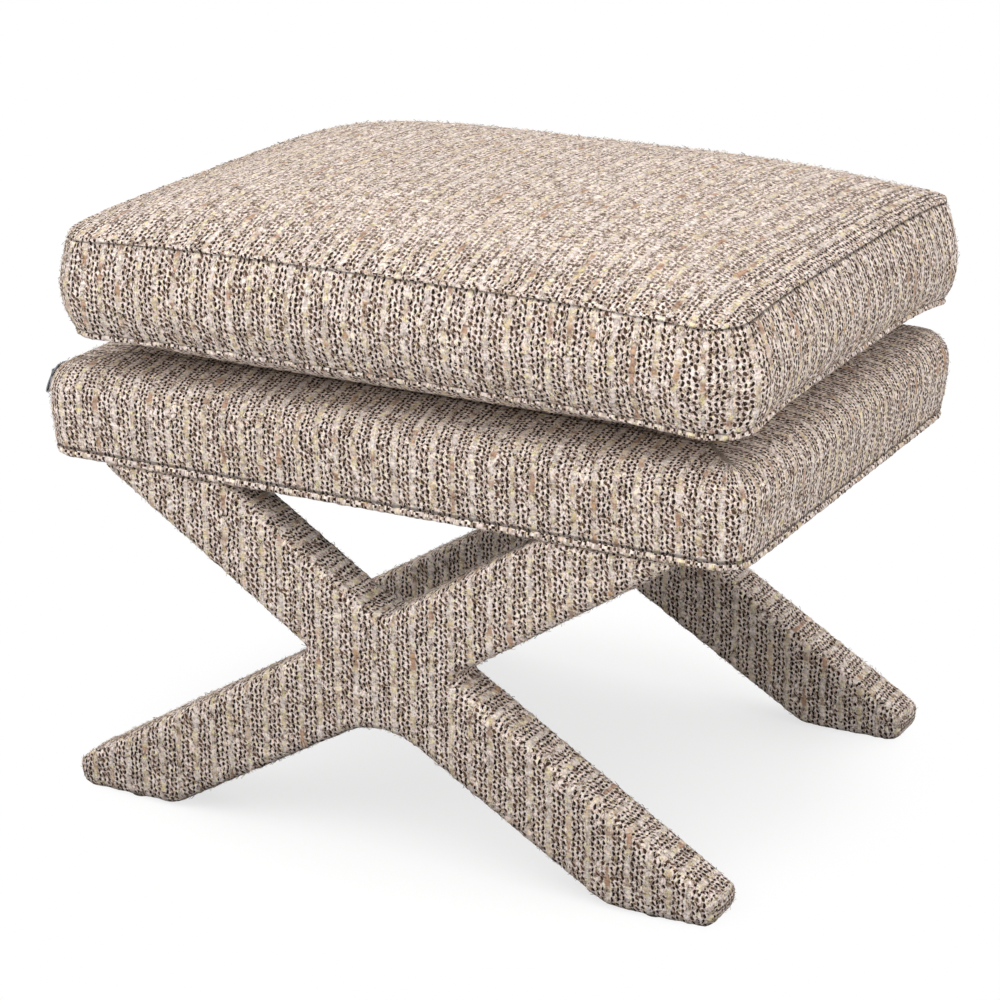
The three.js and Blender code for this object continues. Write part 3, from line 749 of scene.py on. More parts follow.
def plumped(piece, held):
    """Blow a closed form up a little, with some of its points held."""
    before = points_of(piece)
    group = piece.vertex_groups.new(name="held")
    for weight in np.unique(held):
        group.add(np.flatnonzero(held == weight).tolist(), float(weight), "REPLACE")
    only(piece)
    modifier = piece.modifiers.new("Cloth", "CLOTH")
    settings = modifier.settings
    settings.use_pressure = True
    settings.uniform_pressure_force = PRESSURE
    settings.vertex_group_mass = group.name
    settings.effector_weights.gravity = 0
    settings.quality = 4
    settings.tension_stiffness = settings.compression_stiffness = 40
    settings.bending_stiffness = 2
    modifier.collision_settings.use_collision = False
    modifier.collision_settings.use_self_collision = False
    scene = bpy.context.scene
    for number in range(1, FRAMES + 1):
        scene.frame_set(number)
    bpy.ops.object.modifier_apply(modifier=modifier.name)
    scene.frame_set(1)
    moved = points_of(piece) - before
    length = np.linalg.norm(moved, axis=1, keepdims=True)
    capped = moved * np.minimum(1, CAP / np.maximum(length, 1e-9))
    move_points(piece, before + capped)
    piece.vertex_groups.clear()
    print(piece.name, "swelled by up to", round(float(length.max()) / MM, 1), "mm before the cap")


flat_points = points_of(cushion)
seam_band = np.minimum(np.abs(flat_points[:, 2] - UPPER_SEAM), np.abs(flat_points[:, 2] - LOWER_SEAM))
held = np.where((seam_band < CLOTH_GRID) | (flat_points[:, 2] < LOWER_SEAM), 1.0, 0.0)
plumped(cushion, held)
applied(cushion, "SUBSURF", levels=1, render_levels=1)
print("cushion now", len(cushion.data.polygons), "faces")

# %% [markdown]
# The photograph doesn't show the rear. Such a cushion has its zip there, along the middle of the boxing, between
# two folded edges of cloth. The boxing's points are pressed in where the teeth lie, and raised beside them.

# %% Part the rear boxing for the zip
zip_low, zip_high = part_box("cushion_zip")
ZIP_MIDDLE = (zip_low.z + zip_high.z) / 2
ZIP_OPENING = 7.5 * MM
LIP = 1.6 * MM
FLOOR_OF_ZIP = zip_low.y - 0.8 * MM


def opened_for_zip(points):
    """A shallow groove for the zip's teeth, between two folded lips of cloth."""
    away = np.abs(points[:, 2] - ZIP_MIDDLE)
    x = points[:, 0] + cushion_middle.x
    share = eased(x, zip_low.x - 7 * MM, zip_low.x) * eased(x, zip_high.x + 9 * MM, zip_high.x + 2 * MM)
    share = share * (points[:, 1] > CUSHION_HALF_Y - CUSHION_CORNER)
    down = share * eased(away, ZIP_OPENING + MM, ZIP_OPENING - 2 * MM)
    formed = points.copy()
    formed[:, 1] += (FLOOR_OF_ZIP - cushion_middle.y - points[:, 1]) * down
    formed[:, 1] += LIP * share * np.exp(-(((away - ZIP_OPENING - 3 * MM) / (2.5 * MM)) ** 2))
    return formed


move_points(cushion, opened_for_zip(points_of(cushion)))
print("zip opening:", round((zip_high.x - zip_low.x) / MM), "mm long")

# %% [markdown]
# On the panels the columns run from front to back. The boxing is a strip of its own, with its columns upright all
# the way round, so the columns break at the seam as they do in the photograph.

# %% Weave on the cushion


def cushion_weave(corners, middles, normals):
    """Columns run along the depth on the panels, and up the boxing all the way round."""
    on_boxing = (middles[:, 2] > LOWER_SEAM) & (middles[:, 2] < UPPER_SEAM) & (np.abs(normals[:, 2]) < 0.8)
    _, way = way_round(corners, middles, *CUSHION_PLAN)
    return np.where(on_boxing, way, corners[:, 0] + 0.4), np.where(on_boxing, corners[:, 2], corners[:, 1])


# %% [markdown]
# Looked at from the side, tweed isn't smooth: each slub stands out and the ground has lumps. A relief of less
# than a millimetre, partly in step with the columns, roughens the outline as in the photograph.

# %% Relief of the cloth
RELIEF = 0.65 * MM


def roughened(piece, corner_point, across):
    """Push the skin out along the slubs and over irregular lumps."""
    points, normals = points_of(piece), point_normals(piece)
    column_place = np.zeros(len(points))
    column_place[corner_point] = across / MM / (COLUMN * COLUMNS)
    slub = np.cos(2 * math.pi * (column_place - 0.875)).clip(0, 1)
    height = (0.55 * slub + 0.8 * waves_at(points, 160) + 0.7 * waves_at(points, 420) - 0.25) * RELIEF
    move_points(piece, points + normals * height[:, None])


roughened(cushion, *lay_weave(cushion, cushion_weave))
cushion_place = np.array([cushion_middle.x, cushion_middle.y, 0])
move_points(cushion, points_of(cushion) + cushion_place)
finished(cushion, tweed, "cushion")
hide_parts("cushion_cover")
print("cushion box, mm:", in_mm(cushion.dimensions))

# %% [markdown]
# ## The seat base
# Under the cushion sits a firm box. Its cloth goes up each side and over a soft shoulder. A flat deck panel is sewn
# into it under the cushion, where the joint doesn't show, and the hem is turned in under the box, where a black
# lining closes it.

# %% Base upholstery
BASE_GRID = 3.3 * MM
BASE_HALF_X = (base_high.x - base_low.x) / 2
BASE_HALF_Y = (base_high.y - base_low.y) / 2
BASE_CORNER = 28 * MM
BASE_PLAN = (BASE_HALF_X, BASE_HALF_Y, BASE_CORNER)
BASE_SHOULDER = 25 * MM
BASE_TUCK = 4.5 * MM
RIGHT_TUCK = 3.5 * MM
DECK_CROWN = 14 * MM
SHOULDER_TOP = base_high.z - DECK_CROWN
DECK_BORDER = 54 * MM
HEM = 28 * MM
HEM_THICKNESS = 2.5 * MM


# %% Base block and its form
base = block("base_tweed", (-BASE_HALF_X, -BASE_HALF_Y, base_low.z), (BASE_HALF_X, BASE_HALF_Y, SHOULDER_TOP))
with editing():
    choose(base, "EDGE", runs_along(2))
    bpy.ops.mesh.bevel(offset=BASE_CORNER, segments=10, affect="EDGES")
    top_edges = choose(base, "EDGE", lambda edge: min(v.co.z for v in edge.verts) > SHOULDER_TOP - MM)
    bpy.ops.mesh.bevel(offset=BASE_SHOULDER, segments=9, affect="EDGES")
    choose(base, "EDGE", lambda edge: max(v.co.z for v in edge.verts) < base_low.z + MM)
    bpy.ops.mesh.bevel(offset=3 * MM, segments=3, affect="EDGES")
even_skin(base, BASE_GRID)
points = points_of(base)


def side_share(points):
    """0 at the foot of a side, 1 where its shoulder starts."""
    return np.clip((points[:, 2] - base_low.z) / (SHOULDER_TOP - BASE_SHOULDER - base_low.z), 0, 1)


def tucked_right(points):
    """The right end is pulled in a little further at its lower edge than the left one."""
    tucked = points.copy()
    tucked[:, 0] -= RIGHT_TUCK * (1 - side_share(points) * 0.6) * np.clip(points[:, 0] / BASE_HALF_X, 0, 1) ** 4
    return tucked


out, reach, _ = round_plan(points, *BASE_PLAN)
points[:, :2] -= out * (BASE_TUCK * (1 - side_share(points)) ** 2 * reach**3)[:, None]
x, y = points[:, 0] / (BASE_HALF_X - BASE_SHOULDER), points[:, 1] / (BASE_HALF_Y - BASE_SHOULDER)
dome = np.clip(1 - np.abs(x) ** 4, 0, 1) * np.clip(1 - np.abs(y) ** 4, 0, 1)
points[:, 2] += np.where(points[:, 2] > SHOULDER_TOP - MM, DECK_CROWN * dome, 0)
move_points(base, tucked_right(points))
panel_edge = np.maximum(np.abs(points[:, 0]) - BASE_HALF_X, np.abs(points[:, 1]) - BASE_HALF_Y) + DECK_BORDER
above_welt = base_low.z + 2 * WELT_RADIUS - points[:, 2]
# The seam just above the welt and the seam of the deck panel get painted shade.
mark_seam(base, np.where(points[:, 2] > SHOULDER_TOP - 2 * MM, -np.abs(panel_edge), above_welt))


def inside_hem(face):
    middle = face.calc_center_median()
    low = middle.z < base_low.z + 2 * MM
    return low and abs(middle.x) < BASE_HALF_X - HEM and abs(middle.y) < BASE_HALF_Y - HEM


with editing():
    opened = choose(base, "FACE", inside_hem)
    bpy.ops.mesh.delete(type="FACE")
print("base:", top_edges, "top edges rounded,", opened, "faces opened underneath")


# %% [markdown]
# The columns climb each side and go on over the shoulder. On the deck panel they run from front to back, so at the
# front the cloth looks unbroken and at the ends it turns at the panel's seam.

# %% Weave on the base


def base_weave(corners, middles, normals):
    """Columns run up the sides and over the shoulder. On the deck panel they run from front to back."""
    _, way = way_round(corners, middles, *BASE_PLAN)
    inward = np.minimum(BASE_HALF_X - np.abs(corners[:, 0]), BASE_HALF_Y - np.abs(corners[:, 1]))
    on_top = normals[:, 2] > 0.3
    height = corners[:, 2] + np.where(on_top, inward, 0)
    below = normals[:, 2] < -0.5
    away_x, away_y = BASE_HALF_X - np.abs(middles[:, 0]), BASE_HALF_Y - np.abs(middles[:, 1])
    on_panel = on_top & (np.minimum(away_x, away_y) > DECK_BORDER)
    way = np.where(on_panel, corners[:, 0], way)
    height = np.where(on_panel, corners[:, 2] + BASE_HALF_Y + corners[:, 1], height)
    return way + 0.013, np.where(below, corners[:, 2] - inward, height)


roughened(base, *lay_weave(base, base_weave))
applied(base, "SOLIDIFY", thickness=HEM_THICKNESS, offset=-1)
finished(base, tweed, "frame")
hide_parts("base_cover")
print("base box, mm:", in_mm(base.dimensions))

# %% [markdown]
# ## The X frames
# Each X is plywood wrapped in foam and tweed, so that every edge is soft. Its outline is traced as by hand: one
# point is extruded from corner to corner, the corners are rounded, and the closed outline is filled and pulled
# out to its thickness. The rear X is a mirrored copy.

# %% X outline
front_x_low, front_x_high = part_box("front_x_cover")
X_FRONT, X_BACK = front_x_low.y, front_x_high.y
X_TOP = front_x_high.z
NOTCH = (62.4 * MM, 163.4 * MM)
CROTCH_HEIGHT = 201 * MM
ARCH_HEIGHT = 118 * MM
ARM_OUTER, ARM_INNER = 257 * MM, 138 * MM
TOE, TOE_TOP, SOLE_INNER = 291 * MM, 24 * MM, 197 * MM
SOLE_SAG = 1.8 * MM
UNDERSIDE = base_low.z
X_EDGE = 8 * MM
X_SOLE = front_x_low.z - SOLE_SAG


def along_edge(start, reach, low, high):
    """Where an arm's edge stands at the top of the X, if it goes on from start to reach at the underside."""
    return start + (reach - start) * (high - low) / (UNDERSIDE - low)


arm_outer_top = along_edge(NOTCH[0], ARM_OUTER, NOTCH[1], X_TOP)
arm_inner_top = along_edge(0, ARM_INNER, CROTCH_HEIGHT, X_TOP)
right_half = [
    (TOE - 4 * MM, X_SOLE, 13 * MM),
    (TOE, TOE_TOP, 9 * MM),
    (*NOTCH, 4 * MM),
    (arm_outer_top, X_TOP, 0),
    (arm_inner_top, X_TOP, 0),
]
left_half = [(-x, z, rounding) for x, z, rounding in reversed(right_half)]
x_corners = [
    *right_half,
    (0, CROTCH_HEIGHT, 19 * MM),
    *left_half,
    (-SOLE_INNER, X_SOLE, 31 * MM),
    (0, ARCH_HEIGHT, 65 * MM),
    (SOLE_INNER, X_SOLE, 31 * MM),
]


# %% Round the corners of a line


def rounded_outline(corners, step):
    """The traced outline with its corners rounded, in short steps."""
    outline = []
    count = len(corners)
    for number, (x, z, rounding) in enumerate(corners):
        corner = Vector((x, z))
        if rounding == 0:
            outline.append(corner)
            continue
        into = (corner - Vector(corners[number - 1][:2])).normalized()
        out = (Vector(corners[(number + 1) % count][:2]) - corner).normalized()
        turn = math.atan2(into.x * out.y - into.y * out.x, into.dot(out))
        reach = rounding * math.tan(abs(turn) / 2)
        start = corner - into * reach
        side = Vector((-into.y, into.x)) * math.copysign(rounding, turn)
        steps = max(2, round(rounding * abs(turn) / step))
        for index in range(steps + 1):
            angle = turn * index / steps
            spoke = -side
            spoke.rotate(Matrix.Rotation(angle, 2))
            outline.append(start + side + spoke)
    return outline


x_outline = rounded_outline(x_corners, 4 * MM)
print("X outline:", len(x_outline), "points")

# %% [markdown]
# The line is drawn on the front face of the X. Its face is pulled back to the thickness, the rims are bevelled as
# the foam rounds them under the cloth, and an even skin takes the weave and the relief. Only the rims at the top
# stay sharp, because they lie hidden against the base.

# %% X upholstery
X_GRID = 3 * MM


def rim(edge):
    one, other = (vert.co for vert in edge.verts)
    return abs(one.y - other.y) < MM and min(one.z, other.z) < X_TOP - MM


line_steps = [(after.x - before.x, 0, after.y - before.y) for before, after in zip(x_outline, x_outline[1:])]
front_x = traced("front_x_tweed", (x_outline[0].x, X_FRONT, x_outline[0].y), line_steps)
with editing():
    bpy.ops.mesh.edge_face_add()
    extruded((0, X_BACK - X_FRONT, 0))
    turned_outward()
    rims = choose(front_x, "EDGE", rim)
    bpy.ops.mesh.bevel(offset=X_EDGE, segments=4, affect="EDGES", clamp_overlap=False)
even_skin(front_x, X_GRID)
print("front X:", rims, "rim edges rounded,", len(front_x.data.polygons), "faces")

# %% [markdown]
# The cloth of the faces has its columns upright, also across the arms, which shows that each face is one panel. A
# strip covers the edge all the way round, so its rule needs the way along the outline. That is looked up in a tree
# of close points on it.

# %% Weave on the X
WAY_STEP = 1.5 * MM
outline_steps = np.array([point.to_tuple() for point in rounded_outline(x_corners, 1 * MM)])
closed = np.vstack([outline_steps, outline_steps[:1]])
lengths = np.hypot(*np.diff(closed, axis=0).T)
fine, fine_way = [], []
travelled = 0.0
for start, end, length in zip(closed, closed[1:], lengths):
    count = max(1, int(length / WAY_STEP))
    for index in range(count):
        fine.append(start + (end - start) * index / count)
        fine_way.append(travelled + length * index / count)
    travelled += length
outline_tree = kdtree.KDTree(len(fine))
for index, point in enumerate(fine):
    outline_tree.insert((point[0], 0, point[1]), index)
outline_tree.balance()


def way_along_outline(points):
    return np.array([fine_way[outline_tree.find((x, 0, z))[1]] for x, _, z in points])


def x_weave(corners, middles, normals):
    """Upright columns on the faces. On the edges the columns run across the thickness."""
    on_face = np.abs(normals[:, 1]) > 0.6
    shared, back = np.unique(corners.round(6), axis=0, return_inverse=True)
    way = way_along_outline(shared)[back.ravel()]
    middle_shared, middle_back = np.unique(middles.round(6), axis=0, return_inverse=True)
    middle_way = way_along_outline(middle_shared)[middle_back.ravel()]
    way = np.where(way - middle_way > 0.5, way - travelled, np.where(middle_way - way > 0.5, way + travelled, way))
    return np.where(on_face, corners[:, 0], way), np.where(on_face, corners[:, 2], corners[:, 1])


roughened(front_x, *lay_weave(front_x, x_weave))
rear_x = linked("rear_x_tweed", front_x.data.copy())
move_points(rear_x, points_of(rear_x) * np.array([1, -1, 1]))
only(rear_x)
with editing():
    turned_outward()
for piece, name in ((front_x, "front_x_cover"), (rear_x, "rear_x_cover")):
    finished(piece, tweed, "frame")
    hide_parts(name)
print("outline length", round(travelled / MM), "mm")

# %% [markdown]
# ## Welts
# A welt is a cord in a strip of the same cloth, sewn into a seam. It is made as by hand: a small ring is extruded
# along one side, spun round a corner, and so on until it comes back to its start, where the ends are merged.

# %% Welts in the seams
WELT_SIDES = 10
BIAS = math.sqrt(0.5)
SIDE_STEP = 3 * MM
UPRIGHT = (0, math.pi / 2, 0)


def welt(name, half_x, half_y, corner, height, radius):
    """A cord round a rounded rectangle, level at a height."""
    bpy.ops.object.select_all(action="DESELECT")
    start = Vector((0, -half_y, height))
    bpy.ops.mesh.primitive_circle_add(vertices=WELT_SIDES, radius=radius, location=start, rotation=UPRIGHT)
    piece = named(name)
    flat_x, flat_y = half_x - corner, half_y - corner
    runs = [
        ((flat_x, 0), (flat_x, -flat_y)),
        ((0, 2 * flat_y), (flat_x, flat_y)),
        ((-2 * flat_x, 0), (-flat_x, flat_y)),
        ((0, -2 * flat_y), (-flat_x, -flat_y)),
        ((flat_x, 0), None),
    ]
    turn_steps = max(4, round(corner * math.pi / 2 / SIDE_STEP))
    with editing():
        bpy.ops.mesh.select_all(action="SELECT")
        for (run_x, run_y), centre in runs:
            steps = max(1, round(math.hypot(run_x, run_y) / SIDE_STEP))
            for _ in range(steps):
                extruded((run_x / steps, run_y / steps, 0))
            if centre:
                pivot = (*centre, height)
                bpy.ops.mesh.spin(
                    steps=turn_steps, angle=-math.pi / 2, center=pivot, axis=(0, 0, 1), use_auto_merge=False
                )
        bpy.ops.mesh.select_all(action="SELECT")
        bpy.ops.mesh.remove_doubles(threshold=0.2 * MM)
        turned_outward()
    only(piece)
    bpy.ops.object.shade_smooth()
    return piece


# %% The cloth and the form of a welt
bias_tweed = tweed_finish("tweed_on_the_bias")


def dress_welt(piece, body, plan, radius, shape):
    """Map the cloth slantwise along the cord, make the cord uneven, and bend it to the seam."""

    def rule(corners, middles, normals):
        out, way = way_round(corners, middles, *plan)
        outward = np.einsum("ij,ij->i", normals[:, :2], out)
        turn = np.arctan2(normals[:, 2], outward) * radius
        return (way + turn) * BIAS, (way - turn) * BIAS

    lay_weave(piece, rule)
    points, normals = points_of(piece), point_normals(piece)
    points = points + normals * (waves_at(points, 260) * 0.25 * radius)[:, None]
    move_points(piece, shape(points))
    finished(piece, bias_tweed, body)


def bent_to_seam(share, sunk):
    """A shape for a cushion's welt: as far out as the boxing is at this share of its height, less what is sunk."""

    def shape(points):
        seam = points.copy()
        seam[:, 2] = LOWER_SEAM + (UPPER_SEAM - LOWER_SEAM) * share
        out, _, shift = cushion_seam_shift(seam, np.full(len(points), share))
        bent = points.copy()
        bent[:, :2] += out * (shift - sunk)[:, None]
        bent[:, 2] -= cushion_droop(points[:, 0] / CUSHION_HALF_X, points[:, 1] / CUSHION_HALF_Y, share)
        return bent + cushion_place

    return shape


# %% Welts of the cushion and of the base
welt_plan = (CUSHION_HALF_X - WELT_INSET, CUSHION_HALF_Y - WELT_INSET, CUSHION_CORNER)
for name, node, share, height, radius, sunk in (
    ("cushion_top_welt", "cushion_upper_welt", 1.0, UPPER_SEAM, 1.8 * MM, 1.0 * MM),
    ("cushion_bottom_welt", "cushion_lower_welt", 0.0, LOWER_SEAM, 3.0 * MM, 0.5 * MM),
):
    piece = welt(name, *welt_plan, height, radius)
    dress_welt(piece, "cushion", welt_plan, radius, bent_to_seam(share, sunk))
    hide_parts(node)

base_edge = BASE_TUCK + 1 * MM
edge_plan = (BASE_HALF_X - base_edge, BASE_HALF_Y - base_edge, BASE_CORNER - base_edge / 2)
base_welt = welt("base_edge_welt", *edge_plan, base_low.z + WELT_RADIUS, WELT_RADIUS)
dress_welt(base_welt, "frame", edge_plan, WELT_RADIUS, tucked_right)
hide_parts("base_welt")
print("welts:", len(base_welt.data.polygons), "faces in the one at the base")

# %% [markdown]
# ## Plain finishes
# The pieces that a photograph never shows still need their own finish: they are there when the stool is taken
# apart. Each finish reads the place of a point on the object, so grain runs through a board as it does in wood.

# %% Wood


def object_place(finish):
    place = finish.node("ShaderNodeTexCoord").outputs["Object"]
    split = finish.node("ShaderNodeSeparateXYZ", {}, {"Vector": place})
    return [Amount(finish, split.outputs[axis]) / MM for axis in "XYZ"]


def wood_finish(name, pale, dark, ring, ply=None):
    wood = Finish(name, roughness=0.6, specular=0.3)
    x, y, z = object_place(wood)
    sway = wood.noise(wood.pair(x / 90, y / 22, z / 22), 1, 2)
    rings = ((y + z * 0.6 + sway * 60) / ring).sine() * 0.5 + 0.5
    pores = wood.noise(wood.pair(x / 9, y * 1.3, z * 1.3), 1, 3)
    share = rings * 0.55 + pores * 0.5
    colour = wood.ramp(share, [(0.2, pale), (0.75, dark)])
    if ply:
        layer = (y / ply).sine().step(0.1, 0.5)
        colour = wood.shaded(colour, 1 - layer * 0.25)
    return wood.done(colour, pores * 0.15, roughness=pores * 0.25 + 0.5)


# %% Foam and lining


def foam_finish(name, colour):
    foam = Finish(name, roughness=0.95, specular=0.1)
    x, y, z = object_place(foam)
    cells = foam.node("ShaderNodeTexVoronoi", {}, {"Vector": foam.pair(x, y, z), "Scale": 0.9}).outputs["Distance"]
    pits = Amount(foam, cells)
    shade = foam.noise(foam.pair(x, y, z), 0.03, 2) * 0.2 + pits * 0.3 + 0.78
    return foam.done(foam.shaded(colour, shade), pits * 0.6)


def lining_finish(name):
    lining = Finish(name, roughness=0.9, specular=0.15)
    x, y, _ = object_place(lining)
    values = {"Vector": lining.pair(x, y), "Scale": 0.6, "Randomness": 0.15}
    spots = lining.node("ShaderNodeTexVoronoi", {"distance": "CHEBYCHEV"}, values)
    dimple = Amount(lining, spots.outputs["Distance"]).step(0.15, 0.35)
    fibre = lining.noise(lining.pair(x, y), 0.8, 4)
    colour = lining.ramp(dimple * 0.5 + fibre * 0.5, [(0.2, paint(18, 17, 17)), (0.9, paint(44, 42, 41))])
    return lining.done(colour, dimple * 0.25 + fibre * 0.2)


# %% Metal, plastic and zip tape


def speckled_finish(name, dull, bright, roughness, scale, relief, **shader):
    """Zinc's spangle or the grain of moulded plastic: patches that differ a little in colour and in gloss."""
    finish = Finish(name, roughness=roughness, **shader)
    speckle = finish.noise(finish.pair(*object_place(finish)), scale, 3)
    colour = finish.ramp(speckle, [(0.3, dull), (0.7, bright)])
    return finish.done(colour, speckle * relief, roughness=speckle * 0.3 + roughness - 0.15)


def tape_finish(name):
    tape = Finish(name, roughness=0.85, sheen=0.1, specular=0.2)
    x, y, z = object_place(tape)
    ribs = (x * 6.2).sine() * 0.5 + (z * 6.2).sine() * 0.5
    fibre = tape.noise(tape.pair(x, y, z), 1.2, 3)
    colour = tape.ramp(fibre + ribs * 0.12, [(0.25, paint(116, 104, 92)), (0.75, paint(158, 144, 130))])
    return tape.done(colour, ribs * 0.2 + fibre * 0.1)


# %% A finish for each solid
metal = {"scale": 0.5, "relief": 0.04, "metallic": 1.0, "specular": 0.5}
plastic = {"scale": 1.5, "relief": 0.08, "specular": 0.4}
finishes = {
    "foam": foam_finish("foam", paint(226, 216, 186)),
    "plywood": wood_finish("birch_plywood", paint(222, 192, 148), paint(186, 148, 100), 9, ply=1.4),
    "pine": wood_finish("pine", paint(232, 200, 146), paint(196, 150, 92), 5),
    "lining": lining_finish("black_lining"),
    "zinc_steel": speckled_finish("zinc_plated_steel", paint(176, 178, 184), paint(214, 216, 220), 0.4, **metal),
    "nylon": speckled_finish("grey_nylon", paint(46, 45, 43), paint(66, 64, 61), 0.5, **plastic),
    "zip_tape": tape_finish("woven_tape"),
    "slider_metal": speckled_finish("dull_zip_metal", paint(104, 98, 90), paint(150, 142, 130), 0.45, **metal),
    "welt": bias_tweed,
    "tweed": tweed,
}
for part in frame["record"]["subparts"]:
    node = frame["nodes"][part["node"]]
    node.data.materials.clear()
    node.data.materials.append(finishes[part["material_slot"]])
print(len(finishes), "finishes on", len(frame["nodes"]), "solids")

# %% [markdown]
# ## Foam inside the covers
# Under the cloth lies cut foam. A foam block has the plain shape that the knife gave it, but a cut edge of foam
# isn't sharp: the copy of the solid gets an even skin, a little rounding and the slight waves of a hot-wire cut.

# %% Foam pieces


def cut_foam(name, node, body, grid, shrink):
    """A soft copy of a plain foam solid, in its place."""
    solid = frame["nodes"][node]
    mesh = solid.data.copy()
    mesh.transform(solid.matrix_world)
    piece = linked(name, mesh)
    if grid:
        even_skin(piece, grid)
    points, normals = points_of(piece), point_normals(piece)
    move_points(piece, points - normals * (shrink + waves_at(points, 45) * shrink * 0.4)[:, None])
    finished(piece, finishes["foam"], body)
    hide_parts(node)
    return piece


foams = [
    cut_foam("cushion_filling", "cushion_foam", "cushion", 7 * MM, 3 * MM),
    cut_foam("base_padding", "base_foam", "frame", None, 0.3 * MM),
    cut_foam("front_x_padding", "front_x_wrap", "frame", None, 0.2 * MM),
    cut_foam("rear_x_padding", "rear_x_wrap", "frame", None, 0.2 * MM),
]
print("foam pieces:", [len(piece.data.polygons) for piece in foams], "faces")

# %% [markdown]
# ## The zip
# The zip is sewn into the rear of the boxing: a woven tape, and on it two rows of teeth that mesh. One tooth is
# modelled and copied along the tape, each second one turned to the other side. The slider has a pull tab.

# %% Many copies in one mesh


def merged_copies(name, model, turns, moves):
    """Copies of a small model in one mesh: each is turned and sized by its own three axes, then moved."""
    points = points_of(model)
    copies = np.einsum("nij,pj->npi", turns, points) + moves[:, None]
    faces = [tuple(face.vertices) for face in model.data.polygons]
    mesh = bpy.data.meshes.new(name)
    mesh.from_pydata(
        copies.reshape(-1, 3).tolist(),
        [],
        [tuple(corner + len(points) * number for corner in face) for number in range(len(moves)) for face in faces],
    )
    return linked(name, mesh)


# %% Zip tape, teeth and pull tab
TEETH_PITCH = 1.5 * MM
TOOTH_REACH = 2.6 * MM
TAPE_THICK = 0.8 * MM
TAPE_GAP = 0.4 * MM
TEETH_TOP = 2.0 * MM
TOOTH_HALF = 0.45 * MM
TAPE_MARGIN = 2 * MM
END_STOP = 4 * MM

tape_back = FLOOR_OF_ZIP + TAPE_GAP
tape_face = tape_back + TAPE_THICK
tape = block(
    "zip_tape",
    (zip_low.x, tape_back, zip_low.z + TAPE_MARGIN),
    (zip_high.x, tape_face, zip_high.z - TAPE_MARGIN),
)
with editing():
    choose(tape, "EDGE", runs_along(1))
    bpy.ops.mesh.bevel(offset=3 * MM, segments=4, affect="EDGES")

tooth = block("zip_tooth", (-TOOTH_HALF, 0, -0.5 * MM), (TOOTH_HALF, TEETH_TOP, TOOTH_REACH))
with editing():
    choose(tooth, "EDGE", lambda edge: min(vert.co.y for vert in edge.verts) > TEETH_TOP - 0.1 * MM)
    bpy.ops.mesh.bevel(offset=0.3 * MM, segments=1, affect="EDGES")
teeth_count = int((zip_high.x - zip_low.x - 2 * END_STOP) / TEETH_PITCH)
place = np.zeros((teeth_count, 3))
place[:, 0] = zip_low.x + END_STOP + np.arange(teeth_count) * TEETH_PITCH
place[:, 1] = tape_face - 0.2 * MM
place[:, 2] = ZIP_MIDDLE
side = np.where(np.arange(teeth_count) % 2, -1.0, 1.0)
turns = np.zeros((teeth_count, 3, 3))
turns[:, 0, 0], turns[:, 1, 1], turns[:, 2, 2] = side, 1, side
teeth = merged_copies("zip_teeth", tooth, turns, place)
bpy.data.objects.remove(tooth)

slider_low, slider_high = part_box("zip_slider")
slider_x = (slider_low.x + slider_high.x) / 2
tab = block(
    "zip_pull_tab",
    (slider_x - 3 * MM, slider_high.y - 1.3 * MM, slider_low.z - 17 * MM),
    (slider_x + 3 * MM, slider_high.y - 0.1 * MM, slider_low.z + 3 * MM),
)
with editing():
    choose(tab, "EDGE", runs_along(1))
    bpy.ops.mesh.bevel(offset=2.4 * MM, segments=5, affect="EDGES")
    choose(tab, "FACE", lambda face: face.normal.y > 0.9)
    bpy.ops.mesh.inset(thickness=0.9 * MM, depth=0)
    bpy.ops.transform.translate(value=(0, -0.4 * MM, 0))

for piece, slot, body in (
    (tape, "zip_tape", "cushion"),
    (teeth, "slider_metal", "cushion"),
    (tab, "slider_metal", "zip_slider"),
):
    finished(piece, finishes[slot], body)
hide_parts("cushion_zip")
print("zip:", teeth_count, "teeth")

# %% [markdown]
# ## A blank ribbon loop
# At the left end of the base, near the front, the photograph shows the edge of a grey ribbon, folded in two and
# sewn on by its upper end. It is bare here. A short strip is extruded down, round the fold and up again.

# %% Ribbon loop
RIBBON_WIDTH = 12 * MM
RIBBON_THICK = 0.9 * MM
RIBBON_FRONT = -BASE_HALF_Y + 21 * MM
ribbon_steps = [(-6.6, -8), (-4.4, -9), (-2.0, -6), (-0.2, -1.8), (2.0, -0.2), (1.4, 2.2), (1.8, 8), (2.0, 10)]
ribbon_start = (-BASE_HALF_X + 7.5 * MM, RIBBON_FRONT, 361 * MM)
ribbon = traced("ribbon_loop", ribbon_start, [(x * MM, 0, z * MM) for x, z in ribbon_steps])
with editing():
    extruded((0, RIBBON_WIDTH, 0))
applied(ribbon, "SUBSURF", levels=2, render_levels=2, boundary_smooth="PRESERVE_CORNERS")
applied(ribbon, "SOLIDIFY", thickness=RIBBON_THICK, offset=0)
only(ribbon)
bpy.ops.object.shade_smooth_by_angle(angle=math.radians(40))


def ribbon_finish(name):
    """Grey satin, with fine ribs across the ribbon."""
    satin = Finish(name, roughness=0.55, sheen=0.2, specular=0.3)
    x, y, z = object_place(satin)
    ribs = (z * 7.0 + x * 3.0).sine() * 0.5 + 0.5
    fibre = satin.noise(satin.pair(x, y, z), 1.5, 3)
    colour = satin.ramp(fibre * 0.7 + ribs * 0.3, [(0.25, paint(104, 106, 112)), (0.75, paint(168, 170, 176))])
    return satin.done(colour, ribs * 0.15 + fibre * 0.1)


finished(ribbon, ribbon_finish("grey_ribbon"), "frame")

